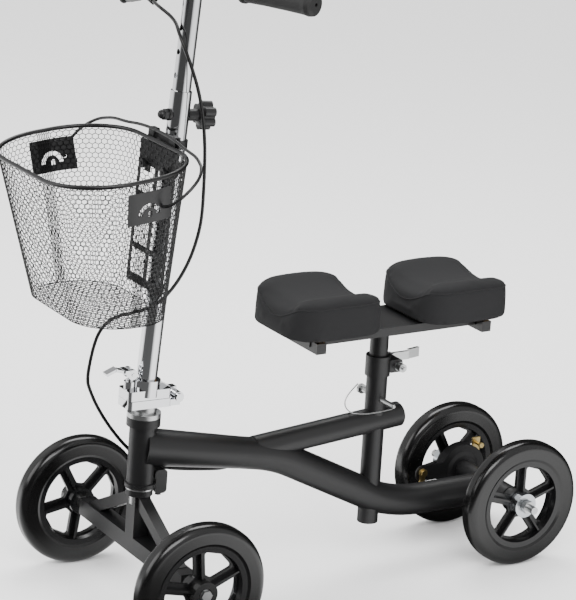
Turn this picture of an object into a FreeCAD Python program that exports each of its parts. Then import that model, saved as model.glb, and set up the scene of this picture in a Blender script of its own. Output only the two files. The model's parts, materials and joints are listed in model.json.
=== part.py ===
"""Knee scooter with four wheels, a height-adjustable split knee pad, a folding column and a basket.

Drawing frame: the rear axle is at x = 0, +X is forward, +Y is the rider's left, +Z is up and the
floor is z = 0. At the end every piece is moved along X by one shift, so that the origin of the
finished part is on the floor, under the middle of the scooter. Millimetres and degrees throughout.
"""
import FreeCAD, Part
import Sketcher
import math
import os

Vector = FreeCAD.Vector
Rotation = FreeCAD.Rotation
Placement = FreeCAD.Placement

doc = FreeCAD.newDocument("knee_scooter")

# ---------------------------------------------------------------- driving dimensions
DIMENSIONS = {
    # wheels
    "rear_track": 188, "front_track": 376,
    "wheel_dia": 200, "tyre_width": 32, "tyre_seat_dia": 140, "tyre_crown": 12,
    "rim_width": 28, "web_thick": 6, "window_outer": 58, "window_inner": 24, "spoke_width": 17,
    "rib_thick": 3, "rib_height": 22, "hub_dia": 40, "hub_neck_dia": 34, "hub_length": 32,
    "bearing_dia": 28, "bearing_bore": 12.1, "bearing_width": 8, "axle_dia": 12,
    # frame
    "main_dia": 48, "main_nose_dia": 56, "branch_dia": 38, "tube_wall": 2,
    "seat_tube_x": 215, "seat_tube_dia": 31.8, "seat_tube_bore": 28.4,
    "seat_tube_low": 69, "seat_tube_top": 337, "post_dia": 28, "post_low": 140,
    "collar_dia": 38, "collar_low": 305.5,
    "head_x": 616.3, "head_lean": 1.35, "head_tube_dia": 39, "head_tube_bore": 34,
    "head_tube_low": 94, "head_tube_top": 181, "steerer_dia": 28.6,
    "rear_sleeve_dia": 34, "rear_sleeve_length": 144,
    # fork
    "beam_size": 25, "beam_length": 316, "strut_size": 17,
    # column and handlebar, measured along the column from its foot
    "column_lean": 5.08, "column_dia": 30, "column_bore": 26.2, "column_top": 444,
    "inner_dia": 25.8, "inner_low": 270, "bar_height": 600, "knob_height": 410,
    "raise_travel": 100, "lower_travel": 66,
    "bar_dia": 22.2, "bar_straight": 90, "bar_half_width": 215, "bar_sweep": 20, "grip_length": 122,
    # seat
    "pad_length": 160, "pad_width": 160, "pad_low": 396.4, "pad_top": 458, "pad_corner": 27,
    "trough_depth": 17, "pad_gap": 66, "seat_plate_thick": 4, "seat_travel": 100,
    "rail_size": 16, "rail_length": 136, "pin_height": 270, "pin_dia": 8,
    # basket
    "rim_length": 210, "rim_width_y": 306, "rim_corner": 95, "rim_x": 709, "rim_z": 681, "rim_tilt": 6,
    "floor_length": 140, "floor_width_y": 232, "floor_corner": 63, "floor_x": 692.5, "floor_z": 468.5,
    "basket_wall": 3, "rim_wire_dia": 6,
    # cable
    "cable_dia": 5,
}

sheet = doc.addObject("Spreadsheet::Sheet", "dim")
for row, (alias, number) in enumerate(DIMENSIONS.items(), start=1):
    sheet.set(f"A{row}", alias)
    sheet.set(f"B{row}", str(number))
    sheet.setAlias(f"B{row}", alias)
doc.recompute()


def value(expression):
    """The number that a sheet expression gives now."""
    return float(sheet.evalExpression(str(expression)))


# ---------------------------------------------------------------- places
X = Vector(1, 0, 0)
Y = Vector(0, 1, 0)
Z = Vector(0, 0, 1)


def at(x=0, y=0, z=0, axis=Z, spin=0):
    """A placement at a point, whose own Z points along axis after a spin about its Z."""
    return Placement(Vector(x, y, z), Rotation(Z, axis) * Rotation(Z, spin))


wheel_radius = value("dim.wheel_dia / 2")
head = Placement(Vector(value("dim.head_x"), 0, wheel_radius), Rotation(Y, -value("dim.head_lean")))
column = Placement(Vector(612.2, 0, 323), Rotation(Y, -value("dim.column_lean")))
seat_x = value("dim.seat_tube_x")

# ---------------------------------------------------------------- makers
parts = {}


def node(name, shape_object):
    """Keeps a finished object as the sub-part called name."""
    shape_object.Label = name
    parts[name] = shape_object
    return shape_object


def primitive(kind, name, sizes, where):
    """A Part primitive whose sizes follow the sheet."""
    piece = doc.addObject(kind, name)
    for prop, expression in sizes.items():
        piece.setExpression(prop, str(expression))
    piece.Placement = where
    return piece


def cylinder(name, radius, length, where=Placement()):
    """A round bar that starts at the place and runs along its Z."""
    return primitive("Part::Cylinder", name, {"Radius": radius, "Height": length}, where)


def cone(name, low_radius, top_radius, length, where=Placement()):
    sizes = {"Radius1": low_radius, "Radius2": top_radius, "Height": length}
    return primitive("Part::Cone", name, sizes, where)


def sphere(name, radius, where):
    return primitive("Part::Sphere", name, {"Radius": radius}, where)


def torus(name, ring_radius, wire_radius, where):
    return primitive("Part::Torus", name, {"Radius1": ring_radius, "Radius2": wire_radius}, where)


def box(name, length, width, height, where=Placement()):
    """A box centred on the place in X and Y, and standing on it in Z."""
    corner = Placement(Vector(-value(length) / 2, -value(width) / 2, 0), Rotation())
    sizes = {"Length": length, "Width": width, "Height": height}
    return primitive("Part::Box", name, sizes, where.multiply(corner))


def hexagon(name, circumradius, height, where):
    sizes = {"Circumradius": circumradius, "Height": height}
    prism = primitive("Part::Prism", name, sizes, where)
    prism.Polygon = 6
    return prism


def fuse(name, pieces):
    joined = doc.addObject("Part::MultiFuse", name)
    joined.Shapes = pieces
    return joined


def cut(name, base, tools):
    """The base less one tool or several."""
    tool = tools[0] if len(tools) == 1 else fuse(name + "_tools", tools)
    result = doc.addObject("Part::Cut", name)
    result.Base = base
    result.Tool = tool
    return result


def group(name, pieces):
    """Separate solids in one node."""
    bundle = doc.addObject("Part::Compound", name)
    bundle.Links = pieces
    return bundle


def tube(name, outer, inner, length, where=Placement()):
    """A round tube from the place along its Z, with radii outer and inner."""
    bore = cylinder(name + "_bore", inner, f"({length}) + 2", where.multiply(at(z=-1)))
    return cut(name, cylinder(name + "_bar", outer, length, where), [bore])


def fillet(name, base, radius, chosen):
    """Rounds the edges of the base for which chosen(edge) is true."""
    doc.recompute()
    rounded = doc.addObject("Part::Fillet", name)
    rounded.Base = base
    size = value(radius)
    rounded.Edges = [
        (i, size, size) for i, edge in enumerate(base.Shape.Edges, start=1) if chosen(edge)
    ]
    return rounded


def new_body(name):
    return doc.addObject("PartDesign::Body", name)


def sketch_on(body, role, name, offset=0):
    """A sketch on one of the body's own origin planes, moved along its normal by offset."""
    plane = next(f for f in body.Origin.OriginFeatures if f.Role == role)
    sketch = body.newObject("Sketcher::SketchObject", name)
    sketch.AttachmentSupport = [(plane, "")]
    sketch.MapMode = "FlatFace"
    if offset:
        sketch.setExpression("AttachmentOffset.Base.z", str(offset))
    return sketch


def outline(sketch, corners):
    """A closed outline of straight sides; each corner is two sheet expressions."""
    points = [(value(a), value(b)) for a, b in corners]
    count = len(points)
    for i, (a, b) in enumerate(points):
        c, d = points[(i + 1) % count]
        sketch.addGeometry(Part.LineSegment(Vector(a, b, 0), Vector(c, d, 0)), False)
    for i in range(count):
        sketch.addConstraint(Sketcher.Constraint("Coincident", i, 2, (i + 1) % count, 1))
    for i, (a, b) in enumerate(corners):
        for kind, number, expression in (("DistanceX", points[i][0], a), ("DistanceY", points[i][1], b)):
            where = sketch.addConstraint(Sketcher.Constraint(kind, -1, 1, i, 1, number))
            sketch.setExpression(f"Constraints[{where}]", str(expression))
    return sketch


def rounded_rectangle(sketch, length, width, radius, centre_x=0):
    """A rectangle with round corners: four lines and four arcs, tangent where they meet."""
    a, b, r = value(length) / 2, value(width) / 2, value(radius)
    shift = value(centre_x)
    corners = [(a, b, 0), (-a, b, 90), (-a, -b, 180), (a, -b, 270)]
    ends = []
    for x, y, start in corners:
        centre = Vector(x - math.copysign(r, x) + shift, y - math.copysign(r, y), 0)
        low, high = math.radians(start), math.radians(start + 90)
        arc = Part.ArcOfCircle(Part.Circle(centre, Z, r), low, high)
        ends.append((arc.StartPoint, arc.EndPoint))
        sketch.addGeometry(arc, False)
    for i in range(4):
        sketch.addGeometry(Part.LineSegment(ends[i][1], ends[(i + 1) % 4][0]), False)
    for i in range(4):
        sketch.addConstraint(Sketcher.Constraint("Tangent", i, 2, 4 + i, 1))
        sketch.addConstraint(Sketcher.Constraint("Tangent", 4 + i, 2, (i + 1) % 4, 1))
    size = sketch.addConstraint(Sketcher.Constraint("Radius", 0, r))
    sketch.setExpression(f"Constraints[{size}]", str(radius))
    return sketch


def revolve(body, corners, name="turned"):
    """Turns an outline of (radius, height) corners about the body's Z."""
    sketch = outline(sketch_on(body, "XZ_Plane", name + "_outline"), corners)
    turned = body.newObject("PartDesign::Revolution", name)
    turned.Profile = sketch
    turned.ReferenceAxis = (sketch, ["V_Axis"])
    turned.Angle = 360
    doc.recompute()
    return turned


def pad_sketch(body, sketch, length, name="pad", both_ways=False):
    extrusion = body.newObject("PartDesign::Pad", name)
    extrusion.Profile = sketch
    extrusion.setExpression("Length", str(length))
    extrusion.Midplane = both_ways
    return extrusion


def pattern(body, feature, count, name):
    """Repeats a feature round the body's Z."""
    doc.recompute()
    ring = body.newObject("PartDesign::PolarPattern", name)
    ring.Originals = [feature]
    axis = next(f for f in body.Origin.OriginFeatures if f.Role == "Z_Axis")
    ring.Axis = (axis, [""])
    ring.Angle = 360
    ring.Occurrences = count
    body.Tip = ring
    doc.recompute()
    return ring


def round_edges(body, base, radius, chosen, name):
    """A PartDesign fillet on the chosen edges of the last feature."""
    doc.recompute()
    edges = [f"Edge{i}" for i, e in enumerate(base.Shape.Edges, start=1) if chosen(e)]
    feature = body.newObject("PartDesign::Fillet", name)
    feature.Base = (base, edges)
    feature.setExpression("Radius", str(radius))
    return feature


def is_arc(edge, radius):
    return hasattr(edge.Curve, "Radius") and abs(edge.Curve.Radius - radius) < 1e-4


def is_upright(edge):
    along = edge.tangentAt(edge.FirstParameter)
    return edge.Curve.TypeId == "Part::GeomLine" and abs(along.z) > 0.999


def is_along(edge, direction):
    along = edge.tangentAt(edge.FirstParameter)
    return edge.Curve.TypeId == "Part::GeomLine" and abs(along.dot(direction)) > 0.999


# ---------------------------------------------------------------- cable routes
def route_wire(points, share=0.45):
    """Straight runs joined by tangent arcs. Returns the wire and the arcs' radii."""
    edges, radii = [], []
    start = points[0]
    for before, corner, after in zip(points, points[1:], points[2:]):
        into, out = (corner - before), (after - corner)
        run = min(into.Length, out.Length)
        turn = into.getAngle(out)
        into.normalize()
        out.normalize()
        radius = share * run / math.tan(turn / 2)
        reach = radius * math.tan(turn / 2)
        first, last = corner - into * reach, corner + out * reach
        middle_way = (out - into).normalize()
        middle = corner + middle_way * (radius / math.cos(turn / 2) - radius)
        edges.append(Part.LineSegment(start, first).toShape())
        edges.append(Part.Arc(first, middle, last).toShape())
        radii.append(radius)
        start = last
    edges.append(Part.LineSegment(start, points[-1]).toShape())
    return Part.Wire(edges), radii


def cord(name, points, diameter, where=None):
    """A round cord along a route of straight runs and arcs, as a Part::Feature."""
    points = [Vector(*p) for p in points]
    wire, radii = route_wire(points)
    radius = diameter / 2
    along = points[1] - points[0]
    ring = Part.Wire(Part.Circle(points[0], along, radius).toShape())
    solid = wire.makePipeShell([ring], True, False)
    expected = math.pi * radius ** 2 * wire.Length
    tightest = min(radii) if radii else 0
    print(f"{name}: length {wire.Length:.1f}, tightest radius {tightest:.1f},"
          f" volume ratio {solid.Volume / expected:.4f}")
    feature = doc.addObject("Part::Feature", name)
    feature.Shape = solid
    if where is not None:
        feature.Placement = where
    return feature


# ---------------------------------------------------------------- wheels
def make_rim(name, where, spin):
    """Moulded rim: hub, web with five rounded windows, rim ring, and a rib on each spoke."""
    body = new_body(name)
    half_web = "dim.web_thick / 2"
    lip = "dim.rim_width / 2"
    profile = [
        ("dim.bearing_dia / 2", "-dim.hub_length / 2"),
        ("dim.hub_dia / 2", "-dim.hub_length / 2"),
        ("dim.hub_dia / 2", f"-{half_web}"),
        ("dim.window_outer + 2", f"-{half_web}"),
        ("dim.window_outer + 4", f"-{lip} + 1"),
        ("dim.tyre_seat_dia / 2", f"-{lip}"),
        ("dim.tyre_seat_dia / 2", lip),
        ("dim.window_outer + 4", f"{lip} - 1"),
        ("dim.window_outer + 2", half_web),
        ("dim.hub_dia / 2", half_web),
        ("dim.hub_dia / 2", "dim.hub_length / 2 - 12"),
        ("dim.hub_neck_dia / 2", "dim.hub_length / 2 - 12"),
        ("dim.hub_neck_dia / 2", "dim.hub_length / 2"),
        ("dim.bearing_dia / 2", "dim.hub_length / 2"),
    ]
    revolve(body, profile, name + "_turned")
    outer, inner = "dim.window_outer", "dim.window_inner"
    side = "dim.spoke_width / 2"
    half_turn = 36
    corners = []
    for radius, sign in ((inner, -1), (outer, -1), (outer, 1), (inner, 1)):
        reach = f"sqrt({radius} ^ 2 - ({side}) ^ 2)"
        angle = sign * half_turn
        cosine, sine = math.cos(math.radians(angle)), math.sin(math.radians(angle))
        across = -sign
        corners.append((
            f"{reach} * {cosine:.6f} - {across} * {side} * {sine:.6f}",
            f"{reach} * {sine:.6f} + {across} * {side} * {cosine:.6f}",
        ))
    corners.insert(2, ("dim.window_outer + 1.5", "0"))
    window = outline(sketch_on(body, "XY_Plane", name + "_window"), corners)
    pocket = body.newObject("PartDesign::Pocket", name + "_pocket")
    pocket.Profile = window
    pocket.Midplane = True
    pocket.setExpression("Length", "dim.web_thick + 2")
    windows = pattern(body, pocket, 5, name + "_windows")
    web = value("dim.web_thick")
    rounded = round_edges(
        body, windows, 3.5, lambda e: is_upright(e) and abs(e.Length - web) < 0.01, name + "_round")
    doc.recompute()
    rib_outline = outline(sketch_on(body, "XY_Plane", name + "_rib_outline"), [
        ("dim.hub_dia / 2 - 1", "-dim.rib_thick / 2"),
        ("dim.window_outer + 3", "-dim.rib_thick / 2"),
        ("dim.window_outer + 3", "dim.rib_thick / 2"),
        ("dim.hub_dia / 2 - 1", "dim.rib_thick / 2"),
    ])
    rib_outline.AttachmentOffset = Placement(Vector(), Rotation(Z, half_turn))
    rib = pad_sketch(body, rib_outline, "dim.rib_height", name + "_rib", both_ways=True)
    pattern(body, rib, 5, name + "_ribs")
    body.Placement = where.multiply(at(spin=spin))
    return node(name, body)


def make_tyre(name, where):
    body = new_body(name)
    turned = revolve(body, [
        ("dim.tyre_seat_dia / 2", "-dim.rim_width / 2"),
        ("dim.tyre_seat_dia / 2 + 4", "-dim.tyre_width / 2"),
        ("dim.wheel_dia / 2", "-dim.tyre_width / 2"),
        ("dim.wheel_dia / 2", "dim.tyre_width / 2"),
        ("dim.tyre_seat_dia / 2 + 4", "dim.tyre_width / 2"),
        ("dim.tyre_seat_dia / 2", "dim.rim_width / 2"),
    ], name + "_turned")
    round_edges(body, turned, "dim.tyre_crown", lambda e: is_arc(e, wheel_radius), name + "_crown")
    body.Placement = where
    return node(name, body)


def make_wheel(prefix, x, y, outboard, spin):
    """Tyre, rim, two bearings and the hub cap. Local Z points away from the scooter."""
    where = at(x, y, wheel_radius, axis=Y * outboard)
    make_tyre(prefix + "_tyre", where)
    make_rim(prefix + "_rim", where, spin)
    half = value("dim.hub_length / 2")
    width = value("dim.bearing_width")
    rings = [
        tube(f"{prefix}_bearing_{i}", "dim.bearing_dia / 2", "dim.bearing_bore / 2",
             "dim.bearing_width", where.multiply(at(z=low)))
        for i, low in enumerate((-half, half - width))
    ]
    node(prefix + "_bearings", group(prefix + "_bearings", rings))
    sleeve = cylinder(prefix + "_cap_body", "dim.hub_dia / 2 - 1.05", 15, where.multiply(at(z=half - 12)))
    hollow = cylinder(prefix + "_cap_hollow", "dim.hub_neck_dia / 2", 13, where.multiply(at(z=half - 13)))
    mouth = cylinder(prefix + "_cap_mouth", 9.5, 10, where.multiply(at(z=half - 1)))
    node(prefix + "_hub_cap", cut(prefix + "_hub_cap", sleeve, [hollow, mouth]))


rear_y = value("dim.rear_track / 2")
front_y = value("dim.front_track / 2")
front_x = value("dim.head_x")
make_wheel("rear_left", 0, rear_y, 1, -54)
make_wheel("rear_right", 0, -rear_y, -1, -45)
make_wheel("front_left", front_x, front_y, 1, -50)
make_wheel("front_right", front_x, -front_y, -1, -45)

# ---------------------------------------------------------------- frame tubes
# The main tube's centre line runs level from the axle, climbs past the seat tube and flattens
# towards the head.
MAIN_BEND = 225


def line_with_bends(sketch, points, radius):
    """Straight lines through the points, with every corner rounded to one radius."""
    points = [Vector(a, b, 0) for a, b in points]
    for start, end in zip(points, points[1:]):
        sketch.addGeometry(Part.LineSegment(start, end), False)
    for i in range(len(points) - 2):
        sketch.addConstraint(Sketcher.Constraint("Coincident", i, 2, i + 1, 1))
    for i in range(len(points) - 2):
        corner = points[i + 1]
        before = corner + (points[i] - corner).normalize()
        after = corner + (points[i + 2] - corner).normalize()
        sketch.fillet(i, i + 1, before, after, float(radius))
    return sketch


def swept_bar(name, line, bend, radius, plane="XZ_Plane", profile_plane="YZ_Plane", profile_offset=0):
    """A round bar along a flat path that starts square to its profile plane."""
    body = new_body(name)
    path = line_with_bends(sketch_on(body, plane, name + "_path"), line, bend)
    ring = sketch_on(body, profile_plane, name + "_ring", profile_offset)
    first = line[0]
    second = line[1]
    middle = Vector(0, first[1], 0)
    ring.addGeometry(Part.Circle(middle, Z, value(radius)), False)
    size = ring.addConstraint(Sketcher.Constraint("Radius", 0, value(radius)))
    ring.setExpression(f"Constraints[{size}]", str(radius))
    pipe = body.newObject("PartDesign::AdditivePipe", name + "_pipe")
    pipe.Profile = ring
    pipe.Spine = path
    if abs(first[1] - second[1]) > 1e-6:
        raise ValueError("the path has to start square to the profile")
    return body


TAIL_LINE = [(0, 91), (176, 91), (388, 202), (600, 245)]
nose_start = Vector(600, 0, 245)
nose_way = (Vector(388, 0, 202) - nose_start).normalize()


def main_tube_bar(name, shrink):
    """The main tube's bar, less shrink all round: swept bar and tapered nose."""
    bar = swept_bar(name + "_swept", TAIL_LINE, MAIN_BEND, f"dim.main_dia / 2 - {shrink}")
    root = nose_start - nose_way * 16
    nose = cone(name + "_nose", f"dim.main_nose_dia / 2 - {shrink}", f"dim.main_dia / 2 - {shrink}",
                170, at(root.x, 0, root.z, axis=nose_way))
    return fuse(name, [bar, nose])


head_core = cylinder("head_core", "dim.head_tube_dia / 2", 120, head.multiply(at(z=80)))
seat_core = cylinder("seat_core", "dim.seat_tube_dia / 2", 320, at(seat_x, 0, 50))
sleeve_core = cylinder("sleeve_core", "dim.rear_sleeve_dia / 2", 100, at(0, -50, wheel_radius, axis=Y))
front_of_head = box("front_of_head", 80, 100, 300, at(front_x + 40, 0, 100))
main_bar = main_tube_bar("main_bar", 0)
node("main_tube", cut("main_tube", main_bar, [
    main_tube_bar("main_hollow", "dim.tube_wall"), head_core, seat_core, sleeve_core, front_of_head]))

# Upper branch: leaves the main tube ahead of the seat tube and ends in a cap behind it.
branch_start = Vector(425, 0, 217)
branch_end = Vector(172, 0, 237)
branch_way = (branch_end - branch_start)
branch_length = branch_way.Length
branch_place = at(branch_start.x, 0, branch_start.z, axis=branch_way)
branch_bar = cylinder("branch_bar", "dim.branch_dia / 2", branch_length, branch_place)
branch_cap = cylinder("branch_cap", "dim.branch_dia / 2 - 3", 3, branch_place.multiply(at(z=branch_length)))
branch_solid = fuse("branch_solid", [branch_bar, branch_cap])
branch_hollow = cylinder(
    "branch_hollow", "dim.branch_dia / 2 - dim.tube_wall", branch_length - 2, branch_place)
node("branch_tube", cut("branch_tube", branch_solid, [
    branch_hollow, main_tube_bar("branch_cope", 0), cylinder(
        "branch_seat_core", "dim.seat_tube_dia / 2", 320, at(seat_x, 0, 50))]))

pin_z = value("dim.pin_height")
seat_length = "dim.seat_tube_top - dim.seat_tube_low"
seat_bar = tube("seat_bar", "dim.seat_tube_dia / 2", "dim.seat_tube_bore / 2", seat_length,
                at(seat_x, 0, value("dim.seat_tube_low")))
pin_hole = cylinder("pin_hole", "dim.pin_dia / 2 + 0.05", 60, at(seat_x, -30, pin_z, axis=Y))
node("seat_tube", cut("seat_tube", seat_bar, [pin_hole]))

head_bar = tube("head_bar", "dim.head_tube_dia / 2", "dim.head_tube_bore / 2",
                "dim.head_tube_top - dim.head_tube_low", head.multiply(at(z=value("dim.head_tube_low"))))
node("head_tube", head_bar)

sleeve = tube("sleeve", "dim.rear_sleeve_dia / 2", "dim.rear_sleeve_dia / 2 - 3", "dim.rear_sleeve_length",
              at(0, -value("dim.rear_sleeve_length / 2"), wheel_radius, axis=Y))
node("rear_axle_sleeve", sleeve)

bushes = [
    tube(f"bush_{i}", "dim.rear_sleeve_dia / 2 - 3", "dim.axle_dia / 2", 14,
         at(0, y, wheel_radius, axis=Y))
    for i, y in enumerate((-72, 58))
]
node("rear_axle_bushes", group("rear_axle_bushes", bushes))

stud_half = 136
rear_rod = cylinder("rear_rod", "dim.axle_dia / 2", 2 * stud_half, at(0, -stud_half, wheel_radius, axis=Y))
node("rear_axle", rear_rod)


def axle_nut(name, x, y, outboard):
    """A washer, a hexagon nut and its bore, on an axle end at y."""
    where = at(x, y, wheel_radius, axis=Y * outboard)
    washer = cylinder(name + "_washer", 8.8, 4.5, where)
    nut = hexagon(name + "_hex", 10.5, 7, where.multiply(at(z=4.5)))
    bore = cylinder(name + "_bore", "dim.axle_dia / 2", 14, where.multiply(at(z=-1)))
    return cut(name, fuse(name + "_both", [washer, nut]), [bore])


hub_half = value("dim.hub_length / 2")
node("rear_axle_nuts", group("rear_axle_nuts", [
    axle_nut("rear_nut_left", 0, rear_y + hub_half + 0.2, 1),
    axle_nut("rear_nut_right", 0, -(rear_y + hub_half + 0.2), -1)]))

# Spacers between the sleeve's ends and the rear hubs.
spacer_length = rear_y - hub_half - value("dim.rear_sleeve_length / 2") - 0.2
spacers = [
    tube(f"rear_spacer_{i}", 9, "dim.axle_dia / 2", spacer_length, at(0, y, wheel_radius, axis=Y))
    for i, y in enumerate((72, -72 - spacer_length))
]
node("rear_spacers", group("rear_spacers", spacers))

# ---------------------------------------------------------------- headset and fork
low_cup = tube("low_cup", 22, 17, 6, head.multiply(at(z=88)))
top_cup = tube("top_cup", 24.5, 17, 13, head.multiply(at(z=181)))
node("headset_cups", group("headset_cups", [low_cup, top_cup]))


steerer_low = 62
steerer = tube("steerer", "dim.steerer_dia / 2", "dim.steerer_dia / 2 - 2.5", 211 - steerer_low,
               head.multiply(at(z=steerer_low)))
node("steerer_tube", steerer)
races = [
    tube("race_low", 20, "dim.steerer_dia / 2", 2.7, head.multiply(at(z=85))),
    tube("race_top", 24.5, "dim.steerer_dia / 2", 6.7, head.multiply(at(z=194.3))),
]
node("headset_races", group("headset_races", races))
bearings = [
    tube(f"headset_bearing_{i}", 16.9, "dim.steerer_dia / 2 + 0.1", 5, head.multiply(at(z=z)))
    for i, z in enumerate((88.2, 188.8))
]
node("headset_bearings", group("headset_bearings", bearings))
locknut = tube("locknut_ring", 17.75, "dim.steerer_dia / 2", 9.8, head.multiply(at(z=201.1)))
node("headset_locknut", locknut)

beam_half = value("dim.beam_size / 2")
post_bar = box("post_bar", "dim.beam_size", "dim.beam_size", 85 - beam_half, head.multiply(at(z=beam_half)))
post_hollow = box(
    "post_hollow", "dim.beam_size - 5", "dim.beam_size - 5", 40, head.multiply(at(z=beam_half - 1)))
post_socket = cylinder("post_socket", "dim.steerer_dia / 2", 60, head.multiply(at(z=steerer_low)))
crown = cylinder("crown", 19.5, 9, head.multiply(at(z=76)))
node("fork_post", cut("fork_post", fuse("post_and_crown", [post_bar, crown]), [post_hollow, post_socket]))

beam_place = head.multiply(at(y=-value("dim.beam_length / 2"), axis=Y))
beam_bar = box("beam_bar", "dim.beam_size", "dim.beam_size", "dim.beam_length", beam_place)
beam_hollow = box("beam_hollow", "dim.beam_size - 5", "dim.beam_size - 5", "dim.beam_length - 60",
                  beam_place.multiply(at(z=30)))
beam_bores = [
    cylinder(f"beam_bore_{i}", "dim.axle_dia / 2", 40, at(front_x, y, wheel_radius, axis=Y))
    for i, y in enumerate((-160, 120))
]
node("axle_beam", cut("axle_beam", beam_bar, [beam_hollow] + beam_bores))


def fork_strut(name, sign):
    """A square strut from the crown down to the outer end of the beam."""
    top = Vector(0, sign * 6, 72)
    foot = Vector(0, sign * 132, 6)
    way = foot - top
    bar = box(name + "_bar", "dim.strut_size", "dim.strut_size", way.Length,
              head.multiply(at(top.x, top.y, top.z, axis=way)))
    post = box(name + "_post", "dim.beam_size", "dim.beam_size", 90, head.multiply(at()))
    beam = box(name + "_beam", "dim.beam_size", "dim.beam_size", "dim.beam_length", beam_place)
    ring = cylinder(name + "_crown", 19.5, 9, head.multiply(at(z=76)))
    shaft = cylinder(name + "_steerer", "dim.steerer_dia / 2", 60, head.multiply(at(z=steerer_low)))
    return cut(name, bar, [post, beam, ring, shaft])


node("fork_struts", group("fork_struts", [fork_strut("strut_left", 1), fork_strut("strut_right", -1)]))
brace = primitive("Part::Wedge", "brace_wedge", {
    "Xmin": -46, "Xmax": 46, "X2min": -14, "X2max": 14, "Ymin": 0, "Ymax": 52,
    "Zmin": 0, "Zmax": 3, "Z2min": 0, "Z2max": 3}, head.multiply(Placement(
        Vector(-beam_half - 3, 0, beam_half - 6), Rotation(Vector(0, 1, 0), Vector(0, 0, 1), X, "ZXY"))))
node("fork_brace", brace)

front_bolts = []
for i, side in enumerate((1, -1)):
    end = front_y + hub_half + 0.3
    shank = cylinder(f"front_shank_{i}", "dim.axle_dia / 2", end - 124,
                     at(front_x, side * 124, wheel_radius, axis=Y * side))
    flange = cylinder(f"front_flange_{i}", 8.5, 2, at(front_x, side * end, wheel_radius, axis=Y * side))
    hex_head = hexagon(f"front_head_{i}", 8.5, 7, at(front_x, side * end, wheel_radius, axis=Y * side))
    front_bolts.append(fuse(f"front_bolt_{i}", [shank, flange, hex_head]))
node("front_axle_bolts", group("front_axle_bolts", front_bolts))
front_gap = front_y - hub_half - value("dim.beam_length / 2") - 0.2
node("front_spacers", group("front_spacers", [
    tube("front_spacer_left", 9, "dim.axle_dia / 2", front_gap, at(front_x, 158, wheel_radius, axis=Y)),
    tube("front_spacer_right", 9, "dim.axle_dia / 2", front_gap, at(front_x, -158, wheel_radius, axis=-Y)),
]))

# Steering stop: a cast block with a bolt, behind the lower end of the head tube.
stop_block = box("stop_block", 20, 22, 36, head.multiply(at(x=-29, z=76)))
stop_round = fillet("stop_round", stop_block, 6, lambda e: is_along(e, head.Rotation.multVec(Y)))
stop_cope = cylinder("stop_cope", 23.5, 30, head.multiply(at(z=70)))
stop_head = cylinder("stop_head_cope", "dim.head_tube_dia / 2", 60, head.multiply(at(z=94)))
node("steering_stop", cut("steering_stop", stop_round, [stop_cope, stop_head]))
stop_bolt = hexagon("stop_bolt_head", 5, 5, head.multiply(at(x=-31, z=70.9)))
node("steering_stop_bolt", stop_bolt)

# ---------------------------------------------------------------- fold clamp, in the head's frame
hinge_x, hinge_z, barrel = -45, 223.2, 8
latch_x = 34
lever_x, cam_z = latch_x - 8, 261
split = 223.3
base_block = box("base_block", 70, 38, split - 211.1, head.multiply(at(z=211.1)))
base_round = fillet("base_round", base_block, 6, lambda e: is_along(e, head.Rotation.multVec(Z)))
base_ears = [
    cylinder(f"base_ear_{i}", barrel, 12, head.multiply(at(hinge_x, y, hinge_z, axis=Y)))
    for i, y in enumerate((-19, 7))
]
base_webs = [
    box(f"base_web_{i}", 16, 12, 9, head.multiply(at(-39, y, 212)))
    for i, y in enumerate((-13, 13))
]
base_cuts = [
    cylinder("base_pin_bore", 3.5, 60, head.multiply(at(hinge_x, -30, hinge_z, axis=Y))),
    cylinder("base_latch_pocket", 7, 20, head.multiply(at(latch_x - 8, 0, 213))),
    box("base_barrel_room", 18, 13.6, 30, head.multiply(at(hinge_x, 0, 205))),
    box("base_top_trim", 120, 60, 20, head.multiply(at(z=split))),
]
base_keep = fuse("base_all", [base_round] + base_webs)
base_cut = cut("base_cut", base_keep, base_cuts)
ear_bore = cylinder("ear_bore", 3.5, 60, head.multiply(at(hinge_x, -30, hinge_z, axis=Y)))
base_eared = cut("base_eared", fuse("ears", base_ears), [ear_bore])
node("clamp_base", fuse("clamp_base", [base_cut, base_eared]))

pin_shank = cylinder("hinge_shank", 3.45, 44, head.multiply(at(hinge_x, -22, hinge_z, axis=Y)))
pin_heads = [
    cylinder(f"hinge_head_{i}", 6, 3, head.multiply(at(hinge_x, y, hinge_z, axis=Y)))
    for i, y in enumerate((-22.2, 19.2))
]
node("fold_hinge_pin", fuse("fold_hinge_pin", [pin_shank] + pin_heads))

top_low = split + 0.3
top_block = box("top_block", 68, 36, 14, head.multiply(at(x=1, z=top_low)))
top_round = fillet("top_round", top_block, 5, lambda e: is_along(e, head.Rotation.multVec(Z)))
top_barrel = cylinder("top_barrel", barrel, 13, head.multiply(at(hinge_x, -6.5, hinge_z, axis=Y)))
top_neck = box("top_neck", 18, 13, 12, head.multiply(at(-38, 0, top_low)))
top_tower = cylinder("top_tower", 8.5, 26, head.multiply(at(lever_x, 0, top_low)))
socket = cylinder("socket", 20.5, 24, column.multiply(at(z=4)))
gusset = primitive("Part::Wedge", "gusset", {
    "Xmin": -46, "Xmax": 0, "X2min": -3, "X2max": 0, "Ymin": 0, "Ymax": 24,
    "Zmin": -3, "Zmax": 3, "Z2min": -3, "Z2max": 3}, head.multiply(Placement(
        Vector(-4, 0, top_low + 6), Rotation(X, 90))))
top_cuts = [
    cylinder("top_column_bore", "dim.column_dia / 2", 80, column.multiply(at(z=8))),
    cylinder("top_latch_bore", 4, 50, head.multiply(at(latch_x - 8, 0, 215))),
    cylinder("top_pin_bore", 3.5, 60, head.multiply(at(hinge_x, -30, hinge_z, axis=Y))),
    box("top_under", 60, 60, 30, head.multiply(at(x=-4, z=top_low - 30))),
]
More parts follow.
